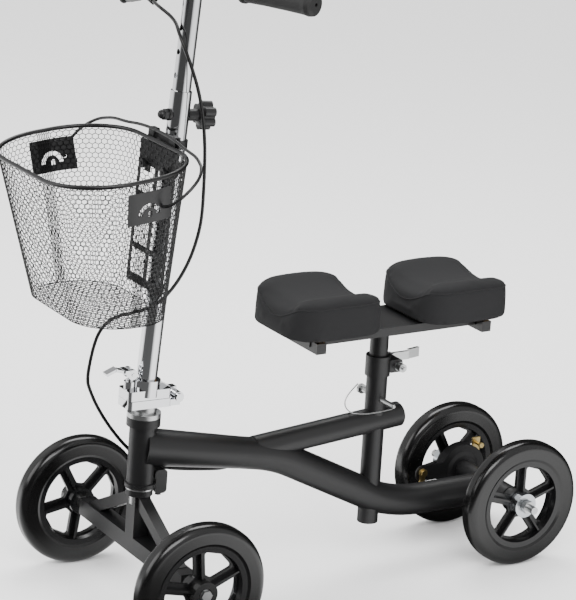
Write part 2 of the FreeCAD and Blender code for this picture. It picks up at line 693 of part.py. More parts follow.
top_all = fuse("top_all", [top_round, top_neck, top_tower, socket, gusset])
top_trimmed = cut("top_trimmed", top_all, top_cuts)
barrel_bore = cylinder("barrel_bore", 3.5, 60, head.multiply(at(hinge_x, -30, hinge_z, axis=Y)))
barrel_ring = cut("barrel_ring", top_barrel, [barrel_bore])
node("clamp_top", fuse("clamp_top", [top_trimmed, barrel_ring]))

# Latch bolt with its washer; the cam lever turns on the cross pin at its top.
latch_shank = cylinder("latch_shank", 3.7, cam_z - 215, head.multiply(at(lever_x, 0, 215)))
latch_foot = cylinder("latch_foot", 5.5, 4, head.multiply(at(lever_x, 0, 214.5)))
latch_washer = cylinder("latch_washer", 5.9, 2.4, head.multiply(at(lever_x, 0, top_low + 26)))
latch_eye = cylinder("latch_eye", 5.5, 8, head.multiply(at(lever_x, -4, cam_z, axis=Y)))
latch_pin = cylinder("latch_pin", 2.5, 22, head.multiply(at(lever_x, -11, cam_z, axis=Y)))
node("latch_bolt", fuse("latch_bolt", [latch_shank, latch_foot, latch_washer, latch_eye, latch_pin]))


def fold_lever():
    """Two cam cheeks joined in front by a curved arm."""
    cheeks = [
        cylinder(f"cam_cheek_{i}", 7.5, 5.5, head.multiply(at(lever_x + 0.5, y, cam_z, axis=Y)))
        for i, y in enumerate((-10, 4.5))
    ]
    bridge = box("lever_bridge", 7, 20, 6, head.multiply(at(lever_x + 9, 0, cam_z + 1)))
    arm = box("lever_arm", 20, 14, 4, head.multiply(Placement(
        Vector(lever_x + 17, 0, cam_z + 3.5), Rotation(Y, -14))))
    tip = box("lever_tip", 18, 13, 4, head.multiply(Placement(
        Vector(lever_x + 31, 0, cam_z + 3.6), Rotation(Y, 22))))
    solid = fuse("lever_solid", cheeks + [bridge, arm, tip])
    bore = cylinder("lever_bore", 2.55, 40, head.multiply(at(lever_x, -20, cam_z, axis=Y)))
    return cut("fold_lever_cut", solid, [bore])


node("fold_lever", fold_lever())

# ---------------------------------------------------------------- column, in its own frame
knob_z = value("dim.knob_height")
column_bar = tube("column_bar", "dim.column_dia / 2", "dim.column_bore / 2", "dim.column_top - 8.2",
                  column.multiply(at(z=8.2)))
knob_bore = cylinder("column_knob_bore", 4.05, 80, column.multiply(at(x=-40, z=knob_z, axis=X)))
node("column_tube", cut("column_tube", column_bar, [knob_bore]))

bosses = []
for i, side in enumerate((-1, 1)):
    start, length = (13.5, 15) if side < 0 else (13.5, 4)
    boss_place = column.multiply(at(x=side * start, z=knob_z, axis=X * side))
    boss = cylinder(f"boss_bar_{i}", 8.5, length, boss_place)
    around = cylinder(f"boss_cope_{i}", "dim.column_dia / 2", 40, column.multiply(at(z=knob_z - 20)))
    bore = cylinder(f"boss_bore_{i}", 4.05, 60, column.multiply(at(x=-30, z=knob_z, axis=X)))
    bosses.append(cut(f"boss_{i}", boss, [around, bore]))
node("knob_bosses", group("knob_bosses", bosses))

dome = sphere("acorn_dome", 6.5, column.multiply(at(x=26, z=knob_z)))
acorn_hex = hexagon("acorn_hex", 8, 7, column.multiply(at(x=17.7, z=knob_z, axis=X)))
acorn_screw = cylinder("acorn_screw", 4, 12, column.multiply(at(x=13.6, z=knob_z, axis=X)))
node("acorn_nut", fuse("acorn_nut", [dome, acorn_hex, acorn_screw]))

# Star knob: six lobes round a hub, with its screw through the rear wall of both tubes.
knob_place = column.multiply(at(x=-30, z=knob_z, axis=-X))
lobes = [
    cylinder(f"knob_lobe_{i}", 6.5, 17, knob_place.multiply(at(
        14 * math.cos(math.radians(60 * i)), 14 * math.sin(math.radians(60 * i)), 3)))
    for i in range(6)
]
knob_hub = cone("knob_hub", 9.5, 15, 3.2, knob_place)
knob_disc = cylinder("knob_disc", 15.5, 17, knob_place.multiply(at(z=3)))
knob_screw = cylinder("knob_screw", 4, 24, knob_place.multiply(at(z=-23.5)))
node("star_knob", fuse("star_knob", [knob_hub, knob_disc, knob_screw] + lobes))

# ---------------------------------------------------------------- handlebar
bar_z = value("dim.bar_height")
inner_bar = tube("inner_bar", "dim.inner_dia / 2", "dim.inner_dia / 2 - 1.8",
                 "dim.bar_height - dim.inner_low",
                 column.multiply(at(z=value("dim.inner_low"))))
slot_low = knob_z - value("dim.raise_travel") - 5
slot_length = value("dim.raise_travel + dim.lower_travel") + 10
slot = box("inner_slot", 16, 8.8, slot_length, column.multiply(at(x=-12, z=slot_low)))
index_holes = [
    cylinder(f"index_hole_{i}", 4, 20, column.multiply(at(x=4, z=knob_z + 22 + 33 * i, axis=X)))
    for i in range(-3, 4)
]
bar_centre = column.multVec(Vector(0, 0, bar_z))
bar_cope = cylinder("bar_cope", "dim.bar_dia / 2", 60, at(bar_centre.x, -30, bar_centre.z, axis=Y))
node("inner_tube", cut("inner_tube", inner_bar, [slot, bar_cope] + index_holes))

sweep = math.radians(value("dim.bar_sweep"))
straight = value("dim.bar_straight / 2")
bar_half = value("dim.bar_half_width") - 4
back = (bar_half - straight) * math.tan(sweep)


def handlebar_bar(name, radius):
    """The bar's half on each side, swept from the middle and joined."""
    halves = []
    for i, side in enumerate((1, -1)):
        line = [(0, 0), (straight, 0), (bar_half, side * back)]
        half = swept_bar(f"{name}_{i}", line, 60, radius, plane="XY_Plane", profile_plane="YZ_Plane")
        half.Placement = at(bar_centre.x, 0, bar_centre.z).multiply(
            Placement(Vector(), Rotation(Z, 90 * side)))
        halves.append(half)
    return fuse(name, halves)


node("handlebar", cut("handlebar", handlebar_bar("bar_outer", "dim.bar_dia / 2"),
                      [handlebar_bar("bar_inner", "dim.bar_dia / 2 - 1.6")]))


def grip_place(side, along):
    """On the swept part of the bar, along mm before its outer end, Z pointing outwards."""
    way = Vector(-math.sin(sweep), side * math.cos(sweep), 0)
    end = Vector(bar_centre.x - (value("dim.bar_half_width") - straight) * math.tan(sweep),
                 side * value("dim.bar_half_width"), bar_centre.z)
    return Placement(end - way * along, Rotation(Z, way))


def make_grip(name, side):
    """Moulded grip: a collar, a slim waist and a bulb at the end, closed but for a small hole."""
    body = new_body(name)
    grip = "dim.grip_length"
    bore = "dim.bar_dia / 2 + 0.1"
    revolve(body, [
        (bore, "0"), ("17", "0"), ("17", "4"), ("15", "8"), ("14.6", "40"), ("15.2", "80"),
        ("16", f"{grip} - 16"), ("17", f"{grip} - 9"), ("16", f"{grip} - 3"), ("12", grip),
        ("2.5", grip), ("2.5", f"{grip} - 3.8"), (bore, f"{grip} - 3.8"),
    ], name + "_turned")
    body.Placement = grip_place(side, value(grip))
    return node(name, body)


make_grip("grip_left", 1)
make_grip("grip_right", -1)

# Brake lever, on the rider's right: X away from the bar's middle, Y down and forward.
LEVER_DROP = 50
lever_out = Vector(-math.sin(sweep), -math.cos(sweep), 0)
lever_forward = Vector(math.cos(sweep), -math.sin(sweep), 0)
drop = math.radians(LEVER_DROP)
lever_down = lever_forward * math.cos(drop) - Z * math.sin(drop)
lever_side = lever_out.cross(lever_down)
lever_origin = grip_place(-1, value("dim.grip_length") + 20).Base
lever = Placement(lever_origin, Rotation(lever_out, lever_down, lever_side, "XYZ"))

clamp_ring = cylinder("lever_clamp", 16, 20, lever.multiply(at(x=-10, axis=X)))
housing_box = box("housing_box", 34, 46, 16, lever.multiply(at(x=-3, y=36, z=-8)))
housing_round = fillet("housing_round", housing_box, 5, lambda e: is_along(e, lever_side))
housing_bore = cylinder("housing_bore", "dim.bar_dia / 2", 40, lever.multiply(at(x=-20, axis=X)))
blade_slot = box("blade_slot", 30, 34, 9, lever.multiply(at(x=7, y=48, z=-4.5)))
pivot_x, pivot_y = 6, 40
housing_pivot = cylinder("housing_pivot", 2.5, 40, lever.multiply(at(pivot_x, pivot_y, -20)))
node("lever_housing", cut("lever_housing", fuse("housing_all", [clamp_ring, housing_round]),
                          [housing_bore, blade_slot, housing_pivot]))
node("lever_pivot_pin", cylinder("lever_pivot_pin", 2.45, 18, lever.multiply(at(pivot_x, pivot_y, -9))))

adjuster_y = 53
adjuster = fuse("adjuster", [
    cylinder("adjuster_barrel", 5, 9, lever.multiply(at(-20.1, adjuster_y, 0, axis=-X))),
    cylinder("adjuster_nose", 3.6, 8, lever.multiply(at(-29.1, adjuster_y, 0, axis=-X)))])
node("cable_adjuster", adjuster)


def brake_blade():
    """Blade from the pivot eye outwards, in straight spans of shrinking width, with a ball end."""
    line = [(pivot_x, pivot_y), (22, 52), (48, 66), (78, 76), (106, 84)]
    pieces = [cylinder("blade_eye", 6, 8, lever.multiply(at(pivot_x, pivot_y, -4)))]
    for i, (start, end) in enumerate(zip(line, line[1:])):
        a, b = Vector(*start, 0), Vector(*end, 0)
        wide = 8 if i == 0 else 11
        turn = math.degrees(math.atan2(b.y - a.y, b.x - a.x))
        middle = (a + b) * 0.5
        place = lever.multiply(Placement(Vector(middle.x, middle.y, -wide / 2), Rotation(Z, turn)))
        pieces.append(box(f"blade_span_{i}", (b - a).Length + 3, 6 - 0.3 * i, wide, place))
    pieces.append(sphere("blade_ball", 6.5, lever.multiply(at(110, 85.5, 0))))
    bore = cylinder("blade_bore", 2.5, 40, lever.multiply(at(pivot_x, pivot_y, -20)))
    return cut("brake_blade", fuse("blade_all", pieces), [bore])


node("brake_lever", brake_blade())

# ---------------------------------------------------------------- seat
plate_z = value("dim.pad_low") - 0.4 - value("dim.seat_plate_thick")
post_bar = tube("post_bar_round", "dim.post_dia / 2", "dim.post_dia / 2 - 2", f"{plate_z} - dim.post_low",
                at(seat_x, 0, value("dim.post_low")))
travel = value("dim.seat_travel")
post_slot = box("post_slot", 9, 60, travel + 10, at(seat_x, 0, pin_z - travel - 5))
node("seat_post", cut("seat_post", post_bar, [post_slot]))

seat_plate_length = 312
plate_bar = box("plate_bar", seat_plate_length, 100, "dim.seat_plate_thick", at(seat_x, 0, plate_z))
screw_spots = [
    (seat_x + side * (value("dim.pad_gap") / 2 + reach), y)
    for side in (1, -1) for reach in (28, 100) for y in (-34, 34)
]
plate_holes = [
    cylinder(f"plate_hole_{i}", 2.6, 20, at(x, y, plate_z - 5)) for i, (x, y) in enumerate(screw_spots)
]
plate_lips = [
    box(f"plate_lip_{i}", seat_plate_length, 3, 9, at(seat_x, y, plate_z - 9))
    for i, y in enumerate((-48.5, 48.5))
]
node("seat_plate", cut("seat_plate", fuse("plate_all", [plate_bar] + plate_lips), plate_holes))

rail_spots = [seat_x - 146, seat_x + 146]
rails = []
for i, x in enumerate(rail_spots):
    rail_place = at(x, -value("dim.rail_length / 2"), plate_z - value("dim.rail_size / 2"), axis=Y)
    outer = box(f"rail_outer_{i}", "dim.rail_size", "dim.rail_size", "dim.rail_length", rail_place)
    inner = box(f"rail_inner_{i}", "dim.rail_size - 3", "dim.rail_size - 3", "dim.rail_length - 4",
                rail_place.multiply(at(z=2)))
    rails.append(cut(f"rail_{i}", outer, [inner]))
node("seat_rails", group("seat_rails", rails))

flange = tube("post_flange_ring", 24, "dim.post_dia / 2", 10, at(seat_x, 0, plate_z - 10))
node("seat_post_flange", flange)

pad_height = value("dim.pad_top - dim.pad_low")
board_height = 9


def make_pad(prefix, centre_x):
    """A foam pad with a trough along X and round corners, and the plywood board let into its base."""
    low = value("dim.pad_low")
    block = box(prefix + "_block", "dim.pad_length", "dim.pad_width", "dim.pad_top - dim.pad_low",
                at(centre_x, 0, low))
    rounded = fillet(prefix + "_corners", block, "dim.pad_corner", is_upright)
    trough_radius = 130
    trough = cylinder(prefix + "_trough", trough_radius, 300,
                      at(centre_x - 150, 0, value("dim.pad_top - dim.trough_depth") + trough_radius, axis=X))
    recess = box(prefix + "_recess", "dim.pad_length - 20", "dim.pad_width - 20", board_height + 1,
                 at(centre_x, 0, low - 1))
    node(prefix + "_knee_pad", cut(prefix + "_knee_pad", rounded, [trough, recess]))
    board = box(prefix + "_board_blank", "dim.pad_length - 20", "dim.pad_width - 20", board_height - 0.3,
                at(centre_x, 0, low))
    holes = [
        cylinder(f"{prefix}_board_hole_{i}", 2.5, 7, at(x, y, low - 1))
        for i, (x, y) in enumerate(screw_spots) if abs(x - centre_x) < 80
    ]
    node(prefix + "_pad_board", cut(prefix + "_pad_board", board, holes))


pad_shift = value("(dim.pad_length + dim.pad_gap) / 2")
make_pad("front", seat_x + pad_shift)
make_pad("rear", seat_x - pad_shift)

screws = []
for i, (x, y) in enumerate(screw_spots):
    shank = cylinder(f"screw_shank_{i}", 2.45, 9, at(x, y, plate_z))
    screw_head = cylinder(f"screw_head_{i}", 4.5, 3, at(x, y, plate_z - 3))
    screws.append(fuse(f"screw_{i}", [shank, screw_head]))
node("pad_screws", group("pad_screws", screws))

# Seat clamp: split collar with two ears, a cross skewer and a quick-release lever.
collar_low = value("dim.collar_low")
collar_height = "dim.seat_tube_top - dim.collar_low"
collar_bar = cylinder("collar_bar", "dim.collar_dia / 2", collar_height, at(seat_x, 0, collar_low))
ears = box("collar_ears", 24, 26, 20, at(seat_x - 24, 0, collar_low + 4))
ears_round = fillet("collar_ears_round", ears, 5, lambda e: is_along(e, Y))
collar_cuts = [
    cylinder("collar_bore", "dim.seat_tube_dia / 2", 60, at(seat_x, 0, collar_low - 10)),
    box("collar_split", 30, 3, 60, at(seat_x - 30, 0, collar_low - 10)),
    cylinder("collar_skewer_bore", 3, 60, at(seat_x - 28, -30, collar_low + 14, axis=Y)),
]
node("seat_collar", cut("seat_collar", fuse("collar_all", [collar_bar, ears_round]), collar_cuts))
skewer_x, skewer_z = seat_x - 28, collar_low + 14
node("collar_skewer", fuse("collar_skewer", [
    cylinder("skewer_rod", 2.9, 56, at(skewer_x, -24, skewer_z, axis=Y)),
    cylinder("skewer_nut", 6.5, 9, at(skewer_x, 18, skewer_z, axis=Y)),
    cylinder("skewer_washer", 7, 2.5, at(skewer_x, 13.2, skewer_z, axis=Y)),
    cylinder("skewer_pivot", 3, 14, at(skewer_x, -24, skewer_z - 7))]))


def clamp_lever():
    """Cam eyes above and below the skewer, and a flat arm that curves to the rear."""
    eyes = [
        cylinder(f"lever_eye_{i}", 8, 3.2, at(skewer_x, -24, skewer_z + z))
        for i, z in enumerate((-7, 3.8))
    ]
    hub = box("clamp_hub", 8, 13, 14, at(skewer_x - 10, -26, skewer_z - 7))
    arm = box("clamp_arm", 34, 5, 13, at(skewer_x - 29, -27, skewer_z - 6.5))
    paddle = box("clamp_paddle", 22, 5, 15, Placement(
        Vector(skewer_x - 55, -29, skewer_z - 6), Rotation(Z, 12)))
    solid = fuse("clamp_lever_all", eyes + [hub, arm, paddle])
    bore = cylinder("clamp_lever_bore", 3.05, 30, at(skewer_x, -24, skewer_z - 15))
    return cut("clamp_lever_cut", solid, [bore])


node("seat_clamp_lever", clamp_lever())

# Locking pin across the seat tube: head on the right, ball tip on the left.
node("locking_pin", fuse("locking_pin", [
    cylinder("pin_shaft", "dim.pin_dia / 2", 86, at(seat_x, -38, pin_z, axis=Y)),
    cylinder("pin_head", 7.5, 5, at(seat_x, -42, pin_z, axis=Y)),
    sphere("pin_tip", 3.98, at(seat_x, 48, pin_z))]))

WIRE_ROUTE = [
    (seat_x + 3, -46, pin_z + 6), (seat_x + 20, -42, pin_z - 4), (seat_x + 38, -28, pin_z - 13),
    (seat_x + 47, -6, pin_z - 17), (seat_x + 46, 14, pin_z - 17.5), (seat_x + 34, 32, pin_z - 13),
    (seat_x + 16, 46, pin_z - 6), (seat_x + 6, 55, pin_z - 1),
]
node("retaining_wire", cord("retaining_wire", WIRE_ROUTE, 2))

# ---------------------------------------------------------------- basket
def basket_outline(body, name, size, height, tilt=0):
    """One level of the basket: size is (length, width, corner radius, middle)."""
    length, width, corner, middle = size
    sketch = sketch_on(body, "XY_Plane", name)
    sketch.AttachmentOffset = Placement(Vector(), Rotation(Y, tilt))
    sketch.setExpression("AttachmentOffset.Base.x", middle)
    sketch.setExpression("AttachmentOffset.Base.z", height)
    return rounded_rectangle(sketch, length, width, corner)


FLOOR_SIZE = ("dim.floor_length", "dim.floor_width_y", "dim.floor_corner", "dim.floor_x")
RIM_SIZE = ("dim.rim_length", "dim.rim_width_y", "dim.rim_corner", "dim.rim_x")
rim_tilt = value("dim.rim_tilt")


def inset(size, gap):
    """The same outline moved inwards by gap, or outwards when gap is negative."""
    length, width, corner, middle = size
    return (f"{length} - 2 * ({gap})", f"{width} - 2 * ({gap})", f"{corner} - ({gap})", middle)


def loft_between(body, kind, name, low, high):
    feature = body.newObject(kind, name)
    feature.Profile = low
    feature.Sections = [high]
    feature.Ruled = True
    doc.recompute()
    return feature


def basket_skin(name, outer_gap, inner_gap, floor_thick):
    """A tapered wall between two outlines, inset by the two gaps, with a floor or without."""
    body = new_body(name)
    low = basket_outline(body, name + "_low", inset(FLOOR_SIZE, outer_gap), "dim.floor_z")
    high = basket_outline(body, name + "_high", inset(RIM_SIZE, outer_gap), "dim.rim_z", rim_tilt)
    loft_between(body, "PartDesign::AdditiveLoft", name + "_outer", low, high)
    drop = "0.2" if floor_thick == "0" else f"0 - ({floor_thick})"
    inner_floor = inset(FLOOR_SIZE, inner_gap)
    inner_rim = inset(RIM_SIZE, inner_gap)
    inner_low = basket_outline(body, name + "_in_low", inner_floor, f"dim.floor_z - ({drop})")
    inner_high = basket_outline(body, name + "_in_high", inner_rim, "dim.rim_z + 0.3", rim_tilt)
    loft_between(body, "PartDesign::SubtractiveLoft", name + "_inner", inner_low, inner_high)
    return body


rim_mid = Vector(value("dim.rim_x"), 0, value("dim.rim_z"))
rim_place = Placement(rim_mid, Rotation(Y, rim_tilt))
rim_back = rim_place.multVec(Vector(-value("dim.rim_length / 2"), 0, 0))
floor_back = Vector(value("dim.floor_x - dim.floor_length / 2"), 0, value("dim.floor_z"))
back_lean = math.degrees(math.atan2(floor_back.x - rim_back.x, rim_back.z - floor_back.z))
back_place = Placement(rim_back, Rotation(Y, -back_lean))

hook_spots = (-30, 30)
HOOK_BOLT_DROP = 34
bolt_cores = [
    cylinder(f"hook_bolt_core_{i}", 2.6, 30, back_place.multiply(at(-15, y, -HOOK_BOLT_DROP, axis=X)))
    for i, y in enumerate(hook_spots)
]
node("basket_mesh", cut("basket_mesh", basket_skin("basket_wall_body", "0", "dim.basket_wall",
                                                   "dim.basket_wall"), bolt_cores))


def make_rim_wire():
    """Round wire along the basket's top edge, centred on the wall."""
    body = new_body("basket_rim_wire")
    middle = inset(RIM_SIZE, "dim.basket_wall / 2")
    path = basket_outline(body, "rim_wire_path", middle, "dim.rim_z + dim.rim_wire_dia / 2", rim_tilt)
    radius = value("dim.rim_wire_dia / 2")
    front = Placement(rim_mid + Z * radius, Rotation(Y, rim_tilt)).multVec(
        Vector(value("(dim.rim_length - dim.basket_wall) / 2"), 0, 0))
    ring = sketch_on(body, "XZ_Plane", "rim_wire_ring")
    ring.addGeometry(Part.Circle(Vector(front.x, front.z, 0), Z, radius), False)
    size = ring.addConstraint(Sketcher.Constraint("Radius", 0, radius))
    ring.setExpression(f"Constraints[{size}]", "dim.rim_wire_dia / 2")
    pipe = body.newObject("PartDesign::AdditivePipe", "rim_wire_pipe")
    pipe.Profile = ring
    pipe.Spine = path
    return node("basket_rim_wire", body)


make_rim_wire()

# Sheet plates that follow the wall's outside: one on each side, with an arch, a slot and the
# bail's pivot hole cut in it, and a tall window frame at the back.
plate_x, plate_z_mid = 695, 648
side_half = value("dim.rim_width_y / 2")
bail_x, bail_z = 676, 646


def side_plate(name, side):
    skin = basket_skin(name + "_skin", "-1.7", "-0.1", "0")
    room = Placement(Vector(plate_x, side * side_half, plate_z_mid), Rotation(Y, rim_tilt))
    room_box = box(name + "_room", 66, 60, 46, room.multiply(at(z=-23)))
    blank = doc.addObject("Part::MultiCommon", name + "_blank")
    blank.Shapes = [skin, room_box]
    through = at(plate_x, side * side_half - 30, plate_z_mid, axis=Y)
    arch_out = cylinder(name + "_arch_out", 17, 60, through.multiply(at(y=11)))
    arch_in = cylinder(name + "_arch_in", 10.5, 62, through.multiply(at(y=11, z=-1)))
    below = box(name + "_arch_low", 50, 64, 40, room.multiply(at(z=-51)))
    arch = cut(name + "_arch", arch_out, [arch_in, below])
    slot = box(name + "_slot", 6, 60, 8, room.multiply(at(z=-14)))
    pivot = cylinder(name + "_pivot_bore", 2.6, 60, at(bail_x, side * side_half - 30, bail_z, axis=Y))
    return cut(name, blank, [arch, slot, pivot])


node("basket_side_plates", group("basket_side_plates", [
    side_plate("side_plate_left", 1), side_plate("side_plate_right", -1)]))

back_blank = box("back_blank", 1.6, 104, 204, back_place.multiply(at(x=-0.9, z=-206)))
WINDOW_ROWS = [(-76, 40), (-150, 66), (-194, 36)]
back_windows = [
    box(f"back_window_{row}_{i}", 10, 42, height, back_place.multiply(at(y=y, z=low)))
    for row, (low, height) in enumerate(WINDOW_ROWS) for i, y in enumerate((-25, 25))
]
back_bores = [
    cylinder(f"back_bore_{i}", 2.6, 30, back_place.multiply(at(-15, y, -HOOK_BOLT_DROP, axis=X)))
    for i, y in enumerate(hook_spots)
]
node("basket_back_plate", cut("basket_back_plate", back_blank, back_windows + back_bores))

# Bracket on the column: a plate and two bands. The basket's hooks drop over its top edge.
plate_gap = value("dim.column_dia / 2")
bracket_low, bracket_high = 330, 383
bracket_face = plate_gap + 1
bracket_plate = box("bracket_sheet", 2.5, 88, bracket_high - bracket_low,
                    column.multiply(at(x=bracket_face + 1.25, z=bracket_low)))
band_spots = (bracket_low + 3, bracket_low + 34)
bracket_bands = [
    tube(f"bracket_band_{i}", plate_gap + 2.5, plate_gap, 12, column.multiply(at(z=z)))
    for i, z in enumerate(band_spots)
]
bracket_ribs = [
    box(f"bracket_rib_{i}", 6, 20, 12, column.multiply(at(x=bracket_face - 1.5, z=z)))
    for i, z in enumerate(band_spots)
]
column_room = cylinder("bracket_room", "dim.column_dia / 2", 200, column.multiply(at(z=260)))
node("basket_bracket", cut("basket_bracket", fuse(
    "bracket_all", [bracket_plate] + bracket_bands + bracket_ribs), [column_room]))

bolt_head = sphere("bolt_head", 6.5, column.multiply(at(x=bracket_face - 0.9, y=-14, z=bracket_high - 14)))
bolt_head_trim = box("bolt_head_trim", 20, 40, 40, column.multiply(
    at(x=bracket_face + 2.5 - 10, z=bracket_high - 34)))
node("bracket_bolt", cut("bracket_bolt", bolt_head, [bolt_head_trim]))

edge_rear = back_place.inverse().multVec(column.multVec(Vector(bracket_face, 0, bracket_high)))
hook_face = -1.9
hook_top = edge_rear.z + 0.8
lip_x = edge_rear.x - 1.5
hooks = []
for i, y in enumerate(hook_spots):
    stem = box(f"hook_stem_{i}", 1.8, 15, hook_top + 46, back_place.multiply(at(hook_face - 0.9, y, -46)))
    top = box(f"hook_top_{i}", hook_face - lip_x + 0.9, 15, 1.8,
              back_place.multiply(at((hook_face + lip_x - 0.9) / 2, y, hook_top - 0.2)))
    lip = box(f"hook_lip_{i}", 1.8, 15, 10, back_place.multiply(at(lip_x, y, hook_top - 8.4)))
    bore = cylinder(f"hook_bore_{i}", 2.6, 30, back_place.multiply(at(-15, y, -HOOK_BOLT_DROP, axis=X)))
    hooks.append(cut(f"hook_{i}", fuse(f"hook_all_{i}", [stem, top, lip]), [bore]))
node("basket_hooks", group("basket_hooks", hooks))

hook_bolts = []
for i, y in enumerate(hook_spots):
    spot = back_place.multiply(at(hook_face - 1.8, y, -HOOK_BOLT_DROP, axis=X))
    inside = value("dim.basket_wall") - hook_face + 1.9
    shank = cylinder(f"hook_shank_{i}", 2.5, inside + 8, spot.multiply(at(z=-1)))
    low_head = cylinder(f"hook_bolt_head_{i}", 4.5, 1.2, spot.multiply(at(z=-1.25)))
    nut = hexagon(f"hook_nut_{i}", 7, 5.5, spot.multiply(at(z=inside)))
    hook_bolts.append(fuse(f"hook_bolt_{i}", [shank, low_head, nut]))
node("hook_bolts", group("hook_bolts", hook_bolts))

# Bail handle: a wire from one side plate, back over the rim, and down to the other plate.
BAIL_HALF = [
    (bail_x, 146, bail_z), (bail_x - 3, 158, bail_z + 3), (662, 167, 659), (646, 170, 674), (632, 165, 686),
    (621, 150, 696), (614, 122, 703), (611, 84, 705), (609.6, 56, 709), (609.2, 26, 711.5),
]
BAIL_ROUTE = BAIL_HALF + [(x, -y, z) for x, y, z in reversed(BAIL_HALF)]
node("bail_handle", cord("bail_handle", BAIL_ROUTE, 4.4))

# ---------------------------------------------------------------- rear brake, on the right wheel
brake_y = -(rear_y - hub_half)
drum_place = at(0, brake_y + 0.0, wheel_radius, axis=Y)
drum_disc = tube("drum_disc", 33, 15, 2.5, drum_place)
drum_wall = tube("drum_wall", 33, 27, 12, drum_place)
node("brake_drum", fuse("brake_drum", [drum_disc, drum_wall]))

band_place = at(0, brake_y + 3, wheel_radius, axis=Y)
band_ring = tube("band_ring", 36, 33.5, 9, band_place)
node("brake_band", band_ring)

cover_place = at(0, brake_y + 4, wheel_radius, axis=Y)
cover_wall = cylinder("cover_wall", 41, 17, cover_place)
cover_room = cylinder("cover_room", 38.5, 14.5, cover_place.multiply(at(z=-1)))
cover_arm = box("cover_arm", 62, 3, 26, at(58, brake_y + 19.5, wheel_radius - 9))
cover_arm_round = fillet("cover_arm_round", cover_arm, 11, lambda e: is_along(e, Y))
cover_boss = cone("cover_boss", 30, 24, 3, cover_place.multiply(at(z=16.9)))
cover_bores = [
    cylinder("cover_bore", "dim.rear_sleeve_dia / 2", 60, at(0, brake_y - 10, wheel_radius, axis=Y)),
    cylinder("cover_pivot_bore", 3, 20, at(78, brake_y + 10, wheel_radius + 6, axis=Y)),
]
cover_shell = cut("cover_shell", fuse("cover_all", [cover_wall, cover_arm_round, cover_boss]), [cover_room])
node("brake_cover", cut("brake_cover", cover_shell, cover_bores))

arm_y = brake_y + 21.3
arm_pivot = (78, wheel_radius + 6)
brake_pivot = fuse("brake_pivot", [
    cylinder("brake_pivot_shank", 2.95, 10, at(arm_pivot[0], arm_y - 4, arm_pivot[1], axis=Y)),
    cylinder("brake_pivot_head", 5.5, 2.5, at(arm_pivot[0], arm_y + 4.3, arm_pivot[1], axis=Y))])
node("brake_arm_pivot", brake_pivot)
arm_bar = box("arm_bar", 9, 4, 34, at(arm_pivot[0] + 1, arm_y + 2, arm_pivot[1] - 32))
arm_eye = cylinder("arm_eye", 7, 4, at(arm_pivot[0], arm_y, arm_pivot[1], axis=Y))
arm_bore = cylinder("arm_bore", 3, 20, at(arm_pivot[0], arm_y - 5, arm_pivot[1], axis=Y))
node("brake_arm", cut("brake_arm", fuse("arm_all", [arm_bar, arm_eye]), [arm_bore]))
clamp_z = arm_pivot[1] - 26
node("cable_clamp", fuse("cable_clamp", [
    cylinder("clamp_stud", 2.4, 5, at(arm_pivot[0] + 1, arm_y + 4.05, clamp_z, axis=Y)),
    box("clamp_block", 8, 7, 9, at(arm_pivot[0] + 1, arm_y + 7.6, clamp_z - 4.5)),
    cylinder("clamp_screw", 3.4, 3, at(arm_pivot[0] + 1, arm_y + 11.05, clamp_z, axis=Y))]))
band_bolt = fuse("band_bolt", [
    cylinder("band_bolt_shank", 2.5, 12, at(-26, brake_y + 16, wheel_radius + 40, axis=Y)),
    hexagon("band_bolt_head", 4.6, 4, at(-26, brake_y + 28, wheel_radius + 40, axis=Y)),
])
band_lug = box("band_lug", 14, 3, 22, at(-24, brake_y + 18, wheel_radius + 28))
node("band_adjuster", fuse("band_adjuster", [band_bolt, cut("band_lug_cut", band_lug, [
    cylinder("band_lug_room", 41.05, 40, at(0, brake_y - 5, wheel_radius, axis=Y))])]))

# ---------------------------------------------------------------- brake cable
# The housing leaves the adjuster, crosses in front of the column on its left side, bows out
# behind it, comes round below the basket and runs under the main tube to a stop by the brake.
cable = value("dim.cable_dia")
nose_end = lever.multVec(Vector(-37.1, adjuster_y, 0))
nose_way_out = lever.multVec(Vector(-60, adjuster_y, 0))
CABLE_TOP = [
    tuple(nose_end), tuple(nose_way_out), (578, -18, 862), (588, 14, 848),
    (585, 26, 830), (573, 29, 800), (561, 30, 765), (552, 29.5, 725), (546, 28, 670), (546, 26.66, 615.15),
]
CABLE_MIDDLE = [
    (546, 26.66, 615), (546, 26, 588), (552, 25.5, 557), (563, 25, 525), (583, 24.5, 492), (610, 22, 465),
    (640, 16, 457), (668, 9, 452), (686, 2, 436), (694, -6, 405), (695.2, -12.69, 374),
]
CABLE_LOW = [
    (695.2, -12.72, 373.85), (696, -17, 354), (687, -24, 335), (672, -32, 308), (651, -38, 276),
    (625, -38, 242), (602, -32, 218), (578, -20, 205), (546, -13, 198.5), (514, -12.45, 193.81),
]
CABLE_FRAME = [
    (513.8, -12.44, 193.78), (488, -12, 190), (462, -15, 187), (428, -26.5, 190), (390, -30, 196),
    (340, -30, 175), (290, -30, 150), (240, -30, 122), (196, -30, 96), (160, -34, 78), (134, -42, 71),
    (108, -47, 72), (86, -49, 79),
]
node("brake_cable_top", cord("brake_cable_top", CABLE_TOP, cable))
node("brake_cable_middle", cord("brake_cable_middle", CABLE_MIDDLE, cable))
node("brake_cable_low", cord("brake_cable_low", CABLE_LOW, cable))
node("brake_cable_frame", cord("brake_cable_frame", CABLE_FRAME, cable))

